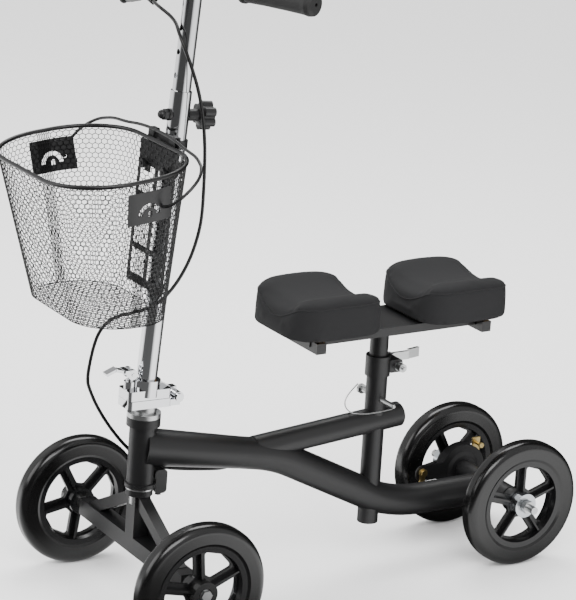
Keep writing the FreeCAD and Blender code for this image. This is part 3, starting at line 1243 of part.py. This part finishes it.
# ---------------------------------------------------------------- pieces that share a node
# Pieces that are welded, screwed or pressed together and never part in use share one node, as
# separate solids.
SHARED = {
    "frame_tubes": ["main_tube", "branch_tube", "rear_axle_sleeve"],
    "steering_stop_set": ["steering_stop", "steering_stop_bolt"],
    "rear_axle_set": ["rear_axle", "rear_axle_nuts", "rear_spacers", "rear_axle_bushes"],
    "brake_bolts": ["brake_arm_pivot", "band_adjuster"],
    "brake_arm_set": ["brake_arm", "cable_clamp"],
    "headset_cup_set": ["headset_cups", "headset_bearings"],
    "headset_nuts": ["headset_races", "headset_locknut"],
    "fork": ["fork_post", "fork_struts", "fork_brace"],
    "front_axle_set": ["front_axle_bolts", "front_spacers"],
    "fold_clamp_base": ["clamp_base", "fold_hinge_pin"],
    "knob_fittings": ["knob_bosses", "acorn_nut"],
    "basket_bracket_set": ["basket_bracket", "bracket_bolt"],
    "grips": ["grip_left", "grip_right"],
    "lever_bracket": ["lever_housing", "lever_pivot_pin", "cable_adjuster"],
    "seat_plate_set": ["seat_plate", "seat_rails", "seat_post_flange", "pad_screws"],
    "pad_boards": ["front_pad_board", "rear_pad_board"],
    "basket_plates": ["basket_side_plates", "basket_back_plate"],
    "basket_hook_set": ["basket_hooks", "hook_bolts"],
    "rear_left_hub": ["rear_left_bearings", "rear_left_hub_cap"],
    "rear_right_hub": ["rear_right_bearings", "rear_right_hub_cap", "brake_drum"],
    "front_left_hub": ["front_left_bearings", "front_left_hub_cap"],
    "front_right_hub": ["front_right_bearings", "front_right_hub_cap"],
}
for shared_name, members in SHARED.items():
    node(shared_name, group(shared_name, [parts.pop(member) for member in members]))

# ---------------------------------------------------------------- check, move to the origin, write
def check_document():
    """Every object must be computed, and every sub-part must be one or more valid solids."""
    doc.recompute()
    for item in doc.Objects:
        bad = [state for state in item.State if state in ("Invalid", "Error")]
        if bad:
            raise RuntimeError(f"{item.Name}: {bad}")
    wrong = []
    for name, item in parts.items():
        shape = item.Shape
        if shape.isNull() or not shape.isValid() or not shape.Solids:
            wrong.append(name)
        elif shape.Volume <= 0:
            wrong.append(name)
    if wrong:
        raise RuntimeError(f"null, not valid, not solid or empty: {wrong}")


doc.recompute()
low_x = min(item.Shape.BoundBox.XMin for item in parts.values())
high_x = max(item.Shape.BoundBox.XMax for item in parts.values())
shift_x = -round((low_x + high_x) / 2)
shift = Placement(Vector(shift_x, 0, 0), Rotation())
for item in parts.values():
    item.Placement = shift.multiply(item.Placement)
check_document()

os.makedirs("parts", exist_ok=True)
for name, item in parts.items():
    item.Shape.exportStep(os.path.join("parts", name + ".step"))
print(f"{len(parts)} sub-parts, moved by {shift_x} mm along X")
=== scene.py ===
import json
import math

import bmesh
import bpy
from mathutils import Matrix, Vector
from mathutils.bvhtree import BVHTree


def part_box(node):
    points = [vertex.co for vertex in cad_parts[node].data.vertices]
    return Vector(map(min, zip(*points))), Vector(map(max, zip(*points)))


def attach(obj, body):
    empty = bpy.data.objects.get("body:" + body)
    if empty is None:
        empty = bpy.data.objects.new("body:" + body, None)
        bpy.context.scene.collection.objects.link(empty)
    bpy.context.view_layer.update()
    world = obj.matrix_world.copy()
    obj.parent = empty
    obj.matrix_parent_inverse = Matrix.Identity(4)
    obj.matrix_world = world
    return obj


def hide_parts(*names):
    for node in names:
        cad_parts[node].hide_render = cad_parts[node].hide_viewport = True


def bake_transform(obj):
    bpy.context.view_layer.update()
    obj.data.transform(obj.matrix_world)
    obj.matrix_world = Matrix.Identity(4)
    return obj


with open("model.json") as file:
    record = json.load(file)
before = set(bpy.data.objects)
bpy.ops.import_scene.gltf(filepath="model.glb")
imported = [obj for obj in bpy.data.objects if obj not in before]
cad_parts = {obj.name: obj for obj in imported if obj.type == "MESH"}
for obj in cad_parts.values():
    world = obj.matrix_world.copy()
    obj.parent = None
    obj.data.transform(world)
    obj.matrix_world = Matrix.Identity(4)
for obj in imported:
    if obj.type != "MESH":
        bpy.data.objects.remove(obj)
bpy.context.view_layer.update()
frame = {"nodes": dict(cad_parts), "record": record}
nodes = frame["nodes"]

# %% [markdown]
# ## Two small helpers for materials
# Colours are written as the hex code that a paint chart gives, and a shader wants linear light,
# so one function converts them. The other adds a shader node and sets its values by name.
# %%
MM = 0.001


def linear(hex_code):
    """An sRGB hex colour as linear RGBA."""
    channels = [int(hex_code[i:i + 2], 16) / 255 for i in (0, 2, 4)]
    light = [c / 12.92 if c <= 0.04045 else ((c + 0.055) / 1.055) ** 2.4 for c in channels]
    return (*light, 1)


def add_node(tree, kind, **values):
    """A new shader node with these socket values; underscores in a name stand for spaces."""
    made = tree.nodes.new("ShaderNode" + kind)
    for name, value in values.items():
        made.inputs[name.replace("_", " ")].default_value = value
    return made


def material(name, hex_code, roughness, metallic=0.0, ior=1.5, grain_mm=0, grain_depth=0.0):
    """A plain surface. grain_mm is the width of its fine bumps and grain_depth their height, in mm."""
    made = bpy.data.materials.new(name)
    made.use_nodes = True
    tree = made.node_tree
    surface = tree.nodes["Principled BSDF"]
    surface.inputs["Base Color"].default_value = linear(hex_code)
    surface.inputs["Roughness"].default_value = roughness
    surface.inputs["Metallic"].default_value = metallic
    surface.inputs["IOR"].default_value = ior
    if grain_mm:
        place = tree.nodes.new("ShaderNodeTexCoord")
        noise = add_node(tree, "TexNoise", Scale=1000 / grain_mm, Detail=2.0)
        bump = add_node(tree, "Bump", Strength=1.0, Distance=grain_depth * MM)
        tree.links.new(place.outputs["Object"], noise.inputs["Vector"])
        tree.links.new(noise.outputs["Fac"], bump.inputs["Height"])
        tree.links.new(bump.outputs["Normal"], surface.inputs["Normal"])
    return made


print("helpers ready")

# %% [markdown]
# ## Materials, one for each material slot of the record
# Powder coat is a dielectric, IOR about 1.5, with a slight orange peel a millimetre or two across.
# Chrome and zinc are metals: metallic is 1 and the colour is the tint of the reflection. Bright
# chrome is almost a mirror, and zinc plate is much duller. The moulded tyre and rim are shinier
# than the rubber grips.
# %%
materials = {
    "black_paint": material("black_powder_coat", "0e0e0f", 0.42, grain_mm=1.6, grain_depth=0.03),
    "basket_wire": material("black_dip_enamel", "0c0c0d", 0.35),
    "chrome": material("bright_chrome", "dfe0e2", 0.07, metallic=1.0),
    "steel": material("zinc_plated_steel", "bfc0c0", 0.3, metallic=1.0, grain_mm=3, grain_depth=0.01),
    "gold_zinc": material("yellow_zinc_plate", "c8b27a", 0.32, metallic=1.0),
    "zinc_caps": material("zinc_plated_cap", "c4c8cc", 0.24, metallic=1.0),
    "black_caps": material("gloss_black_cap", "151515", 0.2),
    "tyre_black": material("gloss_black_polyurethane", "080808", 0.22, ior=1.52),
    "wheel_plastic": material("moulded_black_nylon", "0a0a0b", 0.26, ior=1.53),
    "black_plastic": material("moulded_black_plastic", "0e0e0f", 0.42, grain_mm=1.2, grain_depth=0.02),
    "grip_rubber": material("black_grip_rubber", "101010", 0.6, grain_mm=1.5, grain_depth=0.06),
    "cable_jacket": material("black_cable_sheath", "0a0a0a", 0.38),
    "pad_cover": material("black_pad_fabric", "121214", 0.85, grain_mm=0.9, grain_depth=0.12),
    "plywood": material("birch_plywood", "b08a5a", 0.7, grain_mm=4, grain_depth=0.05),
}
for entry in frame["record"]["subparts"]:
    mesh = nodes[entry["node"]].data
    mesh.materials.clear()
    mesh.materials.append(materials[entry["material_slot"]])


# %% [markdown]
# ## The basket's expanded mesh
# Expanded steel is a sheet that was slit and pulled open into six-sided holes. The wall here is a
# surface ruled between two rounded rectangles, the floor's and the wider, tilted rim's. It is
# tiled with six-sided faces, and a Wireframe modifier then leaves only their borders as strands.
# %%
CELL_WIDE = 8.6 * MM
CELL_HIGH = 6.6 * MM
STRAND = 1.3 * MM
LENGTH_ROUND = 0.79  # the wall's length round, halfway up
WALL_HEIGHT = 0.216
FLOOR = {"length": 0.137, "width": 0.229, "corner": 0.0615, "tilt": 0,
         "middle": Vector((0.3355, 0, 0.470))}
RIM = {"length": 0.207, "width": 0.303, "corner": 0.0935, "tilt": 6,
       "middle": Vector((0.352, 0, 0.682))}
CORNER_SHARE = 0.68  # the part of each quarter of the outline that its corner takes


def outline_point(ring, share):
    """A point on a rounded rectangle, where share runs from 0 to 1 once round it."""
    quarter, along = divmod((share % 1) * 4, 1)
    half_x = ring["length"] / 2 - ring["corner"]
    half_y = ring["width"] / 2 - ring["corner"]
    corners = [(1, 1), (-1, 1), (-1, -1), (1, -1)]
    start = math.pi / 2 * quarter
    sign_x, sign_y = corners[int(quarter)]
    centre = Vector((sign_x * half_x, sign_y * half_y))
    if along < CORNER_SHARE:
        turn = start + along / CORNER_SHARE * math.pi / 2
        flat = centre + Vector((math.cos(turn), math.sin(turn))) * ring["corner"]
    else:
        turn = start + math.pi / 2
        next_x, next_y = corners[(int(quarter) + 1) % 4]
        from_here = (along - CORNER_SHARE) / (1 - CORNER_SHARE)
        middle = centre.lerp(Vector((next_x * half_x, next_y * half_y)), from_here)
        flat = middle + Vector((math.cos(turn), math.sin(turn))) * ring["corner"]
    lean = math.radians(ring["tilt"])
    offset = Vector((flat.x * math.cos(lean), flat.y, -flat.x * math.sin(lean)))
    return ring["middle"] + offset


def wall_point(share, height):
    """height is 0 at the floor and 1 at the rim."""
    level = min(max(height, 0), 1)
    return outline_point(FLOOR, share).lerp(outline_point(RIM, share), level)


rim_points = [outline_point(RIM, step / 48) for step in range(48)]
print("rim is", round((max(p.y for p in rim_points) - min(p.y for p in rim_points)) / MM), "mm wide")

# %% [markdown]
# ## Six-sided cells on the wall and the floor
# Each row of cells is shifted by half a cell from the one below, as the slits in the sheet are.
# On the floor, a corner that would fall outside its outline is moved in to the outline.
# %%


def six_corners(x, y, wide, high):
    """The corners of a cell, pointed at the top and bottom, in the order round it."""
    return [
        (x, y - high * 2 / 3), (x + wide / 2, y - high / 3), (x + wide / 2, y + high / 3),
        (x, y + high * 2 / 3), (x - wide / 2, y + high / 3), (x - wide / 2, y - high / 3),
    ]


def wall_cells():
    around = round(LENGTH_ROUND / CELL_WIDE)
    rows = round(WALL_HEIGHT / CELL_HIGH)
    for row in range(rows + 1):
        for column in range(around):
            middle = (column + row % 2 / 2) / around
            corners = six_corners(middle, row / rows, 1 / around, 1 / rows)
            yield [wall_point(share, height) for share, height in corners]


def inside_floor(x, y):
    """The point, moved towards the middle until the outline holds it, and whether it was inside."""
    half_x, half_y, corner = FLOOR["length"] / 2, FLOOR["width"] / 2, FLOOR["corner"]
    scale = 1.0
    while scale > 0:
        past_x = max(abs(x * scale) - (half_x - corner), 0)
        past_y = max(abs(y * scale) - (half_y - corner), 0)
        if math.hypot(past_x, past_y) <= corner:
            return Vector((x * scale, y * scale, 0)), scale == 1.0
        scale -= 0.01
    return Vector((0, 0, 0)), True


def floor_cells():
    rows = round(FLOOR["width"] / 2 / CELL_HIGH) + 1
    columns = round(FLOOR["length"] / 2 / CELL_WIDE) + 1
    for row in range(-rows, rows + 1):
        for column in range(-columns, columns + 1):
            x = (column + row % 2 / 2) * CELL_WIDE
            corners = [inside_floor(*c) for c in six_corners(x, row * CELL_HIGH, CELL_WIDE, CELL_HIGH)]
            if any(held for _, held in corners):
                yield [point + FLOOR["middle"] for point, _ in corners]


def mesh_object(name, faces, paint):
    """An object from a list of faces, each a list of points, with the points that meet joined."""
    built = bmesh.new()
    for face in faces:
        built.faces.new([built.verts.new(point) for point in face])
    bmesh.ops.remove_doubles(built, verts=built.verts, dist=0.05 * MM)
    bmesh.ops.dissolve_degenerate(built, edges=built.edges, dist=0.05 * MM)
    mesh = bpy.data.meshes.new(name)
    built.to_mesh(mesh)
    built.free()
    mesh.materials.append(paint)
    made = bpy.data.objects.new(name, mesh)
    bpy.context.scene.collection.objects.link(made)
    return made


open_mesh = mesh_object("basket_open_mesh", [*wall_cells(), *floor_cells()], materials["basket_wire"])
strands = open_mesh.modifiers.new("strands", "WIREFRAME")
strands.thickness = STRAND
strands.use_even_offset = False
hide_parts("basket_mesh")
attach(open_mesh, "basket")
print(len(open_mesh.data.polygons), "cells in the basket's mesh")


# %% [markdown]
# ## Foam pads
# The CAD pad is a block with a trough along it. A voxel remesh gives it even faces, a little
# smoothing rounds the foam's edges, and a short cloth simulation with inner pressure makes the
# cover bulge as a stretched one does. Before that the corners are drawn in, as the sewn cover's
# are, so that the swelling has room. The base stays flat on its board, so those points are
# pinned, and the bulge is capped so that the pad keeps to its CAD size.
# %%
PAD_BASE = 0.3964
PAD_TOP = 0.458
PINNED_HEIGHT = 12 * MM
MOST_BULGE = 4 * MM
RECESS_SIDE = 142 * MM
RECESS_MIDDLE = 8 * MM  # above the base
SMOOTHINGS = 40
SIM_FRAMES = 20


def apply_modifiers(thing):
    graph = bpy.context.evaluated_depsgraph_get()
    mesh = bpy.data.meshes.new_from_object(thing.evaluated_get(graph))
    thing.modifiers.clear()
    thing.data = mesh


PAD_HALF = 0.080
CAD_CORNER = 27 * MM
SEWN_CORNER = 46 * MM
END_DROP = 8 * MM


def outline_reach(direction, corner):
    """How far a ray from a pad's middle goes before it meets the outline with this corner radius."""
    near, far = 0.0, 2 * PAD_HALF
    straight = PAD_HALF - corner
    for _ in range(20):
        middle = (near + far) / 2
        past_x = max(abs(direction.x) * middle - straight, 0)
        past_y = max(abs(direction.y) * middle - straight, 0)
        if math.hypot(past_x, past_y) <= corner:
            near = middle
        else:
            far = middle
    return near


def tailor(mesh):
    """Draws the corners in to the cover's wider radius, and lets the top fall a little at both ends."""
    xs = [v.co.x for v in mesh.vertices]
    middle_x = (min(xs) + max(xs)) / 2
    for vertex in mesh.vertices:
        flat = Vector((vertex.co.x - middle_x, vertex.co.y))
        if flat.length < MM:
            continue
        way = flat.normalized()
        flat *= outline_reach(way, SEWN_CORNER) / outline_reach(way, CAD_CORNER)
        rise = max(vertex.co.z - PAD_BASE - PINNED_HEIGHT, 0) / (PAD_TOP - PAD_BASE)
        drop = END_DROP * rise * (abs(flat.x) / PAD_HALF) ** 3
        vertex.co = (flat.x + middle_x, flat.y, vertex.co.z - drop)


def fill_recess(mesh):
    """Adds a block over the recess in the pad's base. The remesh joins the two into one closed skin."""
    xs = [v.co.x for v in mesh.vertices]
    middle = Vector(((min(xs) + max(xs)) / 2, 0, PAD_BASE + RECESS_MIDDLE))
    built = bmesh.new()
    built.from_mesh(mesh)
    size = Matrix.Diagonal((RECESS_SIDE, RECESS_SIDE, 2 * RECESS_MIDDLE, 1))
    bmesh.ops.create_cube(built, size=1, matrix=Matrix.Translation(middle) @ size)
    built.to_mesh(mesh)
    built.free()


def inflated(node):
    """The pad's cover: remeshed, smoothed, then blown up a little by cloth pressure."""
    pad = bpy.data.objects.new(node + "_cover", nodes[node].data.copy())
    bpy.context.scene.collection.objects.link(pad)
    fill_recess(pad.data)
    remesh = pad.modifiers.new("even", "REMESH")
    remesh.mode = "VOXEL"
    remesh.voxel_size = 5 * MM
    apply_modifiers(pad)
    tailor(pad.data)
    loose = pad.vertex_groups.new(name="loose")
    for vertex in pad.data.vertices:
        share = (vertex.co.z - PAD_BASE) / PINNED_HEIGHT - 0.3
        loose.add([vertex.index], min(max(share, 0), 1), "REPLACE")
    smooth = pad.modifiers.new("round", "SMOOTH")
    smooth.vertex_group = "loose"
    smooth.iterations = SMOOTHINGS
    apply_modifiers(pad)
    held = pad.vertex_groups.new(name="held")
    held.add([v.index for v in pad.data.vertices if v.co.z < PAD_BASE + PINNED_HEIGHT], 1, "REPLACE")
    before = [v.co.copy() for v in pad.data.vertices]
    cloth = pad.modifiers.new("cloth", "CLOTH")
    cloth.settings.use_pressure = True
    cloth.settings.uniform_pressure_force = 4
    cloth.settings.vertex_group_mass = "held"
    cloth.settings.effector_weights.gravity = 0
    cloth.point_cache.frame_end = SIM_FRAMES
    for moment in range(1, SIM_FRAMES + 1):
        bpy.context.scene.frame_set(moment)
    apply_modifiers(pad)
    bpy.context.scene.frame_set(1)
    for vertex, start in zip(pad.data.vertices, before):
        moved = vertex.co - start
        if moved.length > MOST_BULGE:
            vertex.co = start + moved.normalized() * MOST_BULGE
    return pad


pads = {}
for node in ("front_knee_pad", "rear_knee_pad"):
    pad = inflated(node)
    pad.modifiers.new("fine", "SUBSURF").render_levels = 1
    pad.modifiers["fine"].levels = 1
    apply_modifiers(pad)
    pad.data.shade_smooth()
    pad.data.materials.clear()
    pad.data.materials.append(materials["pad_cover"])
    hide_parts(node)
    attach(pad, "seat")
    pads[node] = pad
    print(pad.name, [round(side * 1000) for side in pad.dimensions], "mm")

# %% [markdown]
# ## Plywood boards
# A thin board with round corners closes the base of each pad, and shows only from below.
# %%
BOARD_SIDE = 0.126
BOARD_CORNER = 36 * MM
BOARD_THICK = 4 * MM
BOARD_POINTS = 48


def board(pad):
    """A rounded square plate, just proud of the pad's base."""
    xs = [v.co.x for v in pad.data.vertices]
    middle = Vector(((min(xs) + max(xs)) / 2, 0, PAD_BASE - 0.3 * MM))
    ring = {"length": BOARD_SIDE, "width": BOARD_SIDE, "corner": BOARD_CORNER, "tilt": 0,
            "middle": middle}
    low = [outline_point(ring, step / BOARD_POINTS) for step in range(BOARD_POINTS)]
    high = [point + Vector((0, 0, BOARD_THICK)) for point in low]
    sides = [[low[i - 1], low[i], high[i], high[i - 1]] for i in range(BOARD_POINTS)]
    return mesh_object(pad.name.replace("_knee_pad_cover", "_board"), [low[::-1], high, *sides],
                       materials["plywood"])


boards = [board(pad) for pad in pads.values()]
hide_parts("pad_boards")
for plate in boards:
    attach(plate, "seat")
print(len(boards), "boards")

# %% [markdown]
# ## Piping round each pad
# The top panel is sewn to the side strip, and the seam shows as a thin ridge a little below the
# edge. A ray towards the pad at each step round it finds the finished surface, and a thin round
# curve follows those points.
# %%
SEAM_DROP = 11 * MM
SEAM_RADIUS = 1.3 * MM


TROUGH_LOWEST = 0.441
TROUGH_RADIUS = 0.130
SEAM_STEPS = 96


def trough_height(y):
    """The pad's top at this distance from its middle line: an arc, capped at the top."""
    return min(PAD_TOP, TROUGH_LOWEST + TROUGH_RADIUS - math.sqrt(TROUGH_RADIUS ** 2 - y ** 2))


def seam_points(pad):
    surface = BVHTree.FromPolygons(
        [v.co for v in pad.data.vertices], [tuple(p.vertices) for p in pad.data.polygons])
    low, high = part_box(pad.name.replace("_cover", ""))
    middle = (low + high) / 2
    for step in range(SEAM_STEPS):
        turn = math.tau * step / SEAM_STEPS
        towards = Vector((math.cos(turn), math.sin(turn), 0))
        across = max(-0.078, min(0.078, 0.1 * math.sin(turn)))
        fall = SEAM_DROP + END_DROP * abs(math.cos(turn)) ** 3
        start = Vector((middle.x, middle.y, trough_height(across) - fall)) + towards * 0.2
        hit = surface.ray_cast(start, -towards)[0]
        if hit:
            yield hit


def round_curve(name, points, radius, closed, paint):
    """A smooth round cord: a NURBS curve of order 3 that keeps to its control points' polygon."""
    data = bpy.data.curves.new(name, "CURVE")
    data.dimensions = "3D"
    data.bevel_depth = radius
    data.bevel_resolution = 3
    data.resolution_u = 8
    data.use_fill_caps = not closed
    spline = data.splines.new("NURBS")
    spline.points.add(len(points) - 1)
    for spot, point in zip(spline.points, points):
        spot.co = (*point, 1)
    spline.order_u = 3
    spline.use_cyclic_u = closed
    spline.use_endpoint_u = not closed
    data.materials.append(paint)
    made = bpy.data.objects.new(name, data)
    bpy.context.scene.collection.objects.link(made)
    return made


for pad in pads.values():
    route = list(seam_points(pad))
    seam = round_curve(pad.name + "_piping", route, SEAM_RADIUS, True, materials["pad_cover"])
    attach(seam, "seat")
    print(seam.name, "through", len(seam.data.splines[0].points), "points")

# %% [markdown]
# ## Brake cable and pin wire
# The cable runs from the lever down the column, round the fold clamp, under the frame and back to
# the drum brake, in four lengths. Each route lists the two bodies of the joint it crosses and the
# two points of a "bend", but these are not used: each length, and the pin wire, is a fixed tube.
# %%
ROUTES = {
    "brake_cable_top": {
        "radius": 2.5, "bodies": ("column", "handlebar"), "bend": ((546, 26.66, 615), (588, 14, 848)),
        "points": [(590.47, -58.35, 880.04), (598.3, -36.83, 880.04), (578, -18, 862), (588, 14, 848),
                   (585, 26, 830), (573, 29, 800), (561, 30, 765), (552, 29.5, 725), (546, 28, 670),
                   (546, 26.66, 615)]},
    "brake_cable_middle": {
        "radius": 2.5, "bodies": ("steering", "column"), "bend": ((695.2, -12.7, 374), (583, 24.5, 492)),
        "points": [(546, 26.66, 615), (546, 26, 588), (552, 25.5, 557), (563, 25, 525), (583, 24.5, 492),
                   (610, 22, 465), (640, 16, 457), (668, 9, 452), (686, 2, 436), (694, -6, 405),
                   (695.2, -12.7, 374)]},
    "brake_cable_low": {
        "radius": 2.5, "bodies": ("frame", "steering"), "bend": ((514, -12.45, 193.8), (651, -38, 276)),
        "points": [(695.2, -12.7, 374), (696, -17, 354), (687, -24, 335), (672, -32, 308),
                   (651, -38, 276), (625, -38, 242), (602, -32, 218), (578, -20, 205),
                   (546, -13, 198.5), (514, -12.45, 193.8)]},
    "brake_cable_frame": {
        "radius": 2.5, "bodies": ("frame", "brake_arm"), "bend": ((160, -34, 78), (86, -49, 79)),
        "points": [(514, -12.45, 193.8), (488, -12, 190), (462, -15, 187), (428, -26.5, 190),
                   (390, -30, 196), (340, -30, 175), (290, -30, 150), (240, -30, 122),
                   (196, -30, 96), (160, -34, 78), (134, -42, 71), (108, -47, 72), (86, -49, 79)]},
    "retaining_wire": {
        "radius": 1.0, "bodies": ("frame", "locking_pin"), "bend": ((215, 10, 270), (215, -40, 270)),
        "points": [(218, -46, 276), (235, -42, 266), (253, -28, 257), (262, -6, 253), (261, 14, 252.5),
                   (249, 32, 257), (231, 46, 264), (221, 55, 269)]},
}
AXLE_TO_MIDDLE = 357  # mm from the rear axle, where these routes count from, to the row's origin


def in_row(point):
    return Vector((point[0] - AXLE_TO_MIDDLE, point[1], point[2])) * MM


def as_mesh(curve):
    """The curve's tube as a mesh object."""
    graph = bpy.context.evaluated_depsgraph_get()
    mesh = bpy.data.meshes.new_from_object(curve.evaluated_get(graph))
    made = bpy.data.objects.new(curve.name + "_tube", mesh)
    bpy.context.scene.collection.objects.link(made)
    bpy.data.objects.remove(curve)
    mesh.shade_smooth()
    return made


slot_of = {entry["node"]: entry["material_slot"] for entry in frame["record"]["subparts"]}
for node, route in ROUTES.items():
    points = [in_row(point) for point in route["points"]]
    paint = materials[slot_of[node]]
    run = as_mesh(round_curve(node + "_run", points, route["radius"] * MM, False, paint))
    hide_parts(node)
    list(route["bodies"])
    in_row(route["bend"][0])
    in_row(route["bend"][1])
    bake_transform(run)
    print(node, "between", " and ".join(route["bodies"]))

# %% [markdown]
# ## Floor, light and camera
# A pale floor and a bright surround give the clean studio look. Black parts need large lights,
# since what shows of them is mostly reflection, and bright chrome also needs something dark to
# reflect. So shiny surfaces see strip lights with dark gaps, while all else sees plain white.
# %%
paper = material("pale_paper", "ffffff", 0.9)
BANDS_ROUND = 2  # bright strips seen in reflections, evenly spaced round the object
BAND_TURN = 3.67  # radians: puts a strip to the right of the camera and a dark gap ahead of it
REFLECTED_DARK, REFLECTED_BRIGHT = 0.03, 0.9


def strips_in_reflections(tree, place, plain):
    """A brightness: plain for most rays, but strips and dark gaps for rays off a shiny surface."""
    turn = tree.nodes.new("ShaderNodeTexGradient")
    turn.gradient_type = "RADIAL"
    tree.links.new(place, turn.inputs["Vector"])
    angle = tree.nodes.new("ShaderNodeMath")
    angle.operation = "MULTIPLY_ADD"
    angle.inputs[1].default_value = math.tau * BANDS_ROUND
    angle.inputs[2].default_value = BAND_TURN
    wave = tree.nodes.new("ShaderNodeMath")
    wave.operation = "SINE"
    strength = tree.nodes.new("ShaderNodeMapRange")
    for name, value in {"From Min": -0.2, "From Max": 0.6, "To Min": REFLECTED_DARK,
                        "To Max": REFLECTED_BRIGHT}.items():
        strength.inputs[name].default_value = value
    choose = tree.nodes.new("ShaderNodeMix")
    choose.inputs[2].default_value = plain
    rays = tree.nodes.new("ShaderNodeLightPath")
    tree.links.new(turn.outputs["Fac"], angle.inputs[0])
    tree.links.new(angle.outputs[0], wave.inputs[0])
    tree.links.new(wave.outputs[0], strength.inputs["Value"])
    tree.links.new(rays.outputs["Is Glossy Ray"], choose.inputs[0])
    tree.links.new(strength.outputs[0], choose.inputs[3])
    return choose.outputs[0]


paper_tree = paper.node_tree
paper_place = paper_tree.nodes.new("ShaderNodeTexCoord").outputs["Object"]
paper_tree.links.new(strips_in_reflections(paper_tree, paper_place, 1.0),
                     paper_tree.nodes["Principled BSDF"].inputs["Base Color"])


def plane(name, width, height, where, facing, paint):
    """A flat card, with its face towards a point."""
    half_w, half_h = width / 2, height / 2
    corners = [(-half_w, -half_h, 0), (half_w, -half_h, 0), (half_w, half_h, 0), (-half_w, half_h, 0)]
    made = mesh_object(name, [[Vector(c) for c in corners]], paint)
    made.location = where
    made.rotation_euler = (Vector(facing) - Vector(where)).to_track_quat("Z", "Y").to_euler()
    return made


def soft_light(name, width, watts, where, facing):
    data = bpy.data.lights.new(name, "AREA")
    data.shape = "RECTANGLE"
    data.size = width
    data.size_y = width * 0.7
    data.energy = watts
    made = bpy.data.objects.new(name, data)
    made.location = where
    made.rotation_euler = (Vector(facing) - Vector(where)).to_track_quat("-Z", "Y").to_euler()
    bpy.context.scene.collection.objects.link(made)


plane("floor", 30, 30, (0, 0, 0), (0, 0, 1), paper)
soft_light("key", 2.2, 90, (1.2, 2.4, 2.8), (0, 0, 0.3))
soft_light("fill", 2.5, 45, (2.8, -0.6, 1.8), (0, 0, 0.4))
soft_light("top", 2.0, 60, (-0.8, -1.2, 2.8), (0, 0, 0.4))
world = bpy.data.worlds.new("surround")
world.use_nodes = True
sky = world.node_tree.nodes["Background"]
sky.inputs["Color"].default_value = (1, 1, 1, 1)
sky_place = world.node_tree.nodes.new("ShaderNodeTexCoord").outputs["Generated"]
world.node_tree.links.new(strips_in_reflections(world.node_tree, sky_place, 1.7), sky.inputs["Strength"])
bpy.context.scene.world = world

YAW, PITCH, ROLL = math.radians(-122.044), math.radians(17.032), 0.056880
ahead = Vector((math.cos(YAW) * math.cos(PITCH), math.sin(YAW) * math.cos(PITCH), -math.sin(PITCH)))
level = ahead.cross(Vector((0, 0, 1))).normalized()
upright = level.cross(ahead)
right = level * math.cos(ROLL) + upright * math.sin(ROLL)
up = upright * math.cos(ROLL) - level * math.sin(ROLL)
lens = bpy.data.cameras.new("camera")
lens.lens = 151.14
lens.sensor_width = 36
lens.clip_end = 100
camera = bpy.data.objects.new("camera", lens)
turned = Matrix((right, up, -ahead)).transposed().to_4x4()
camera.matrix_world = Matrix.Translation((1.88351, 2.97150, 1.51492)) @ turned
bpy.context.scene.collection.objects.link(camera)
bpy.context.scene.camera = camera
print("stage, lights and camera ready")
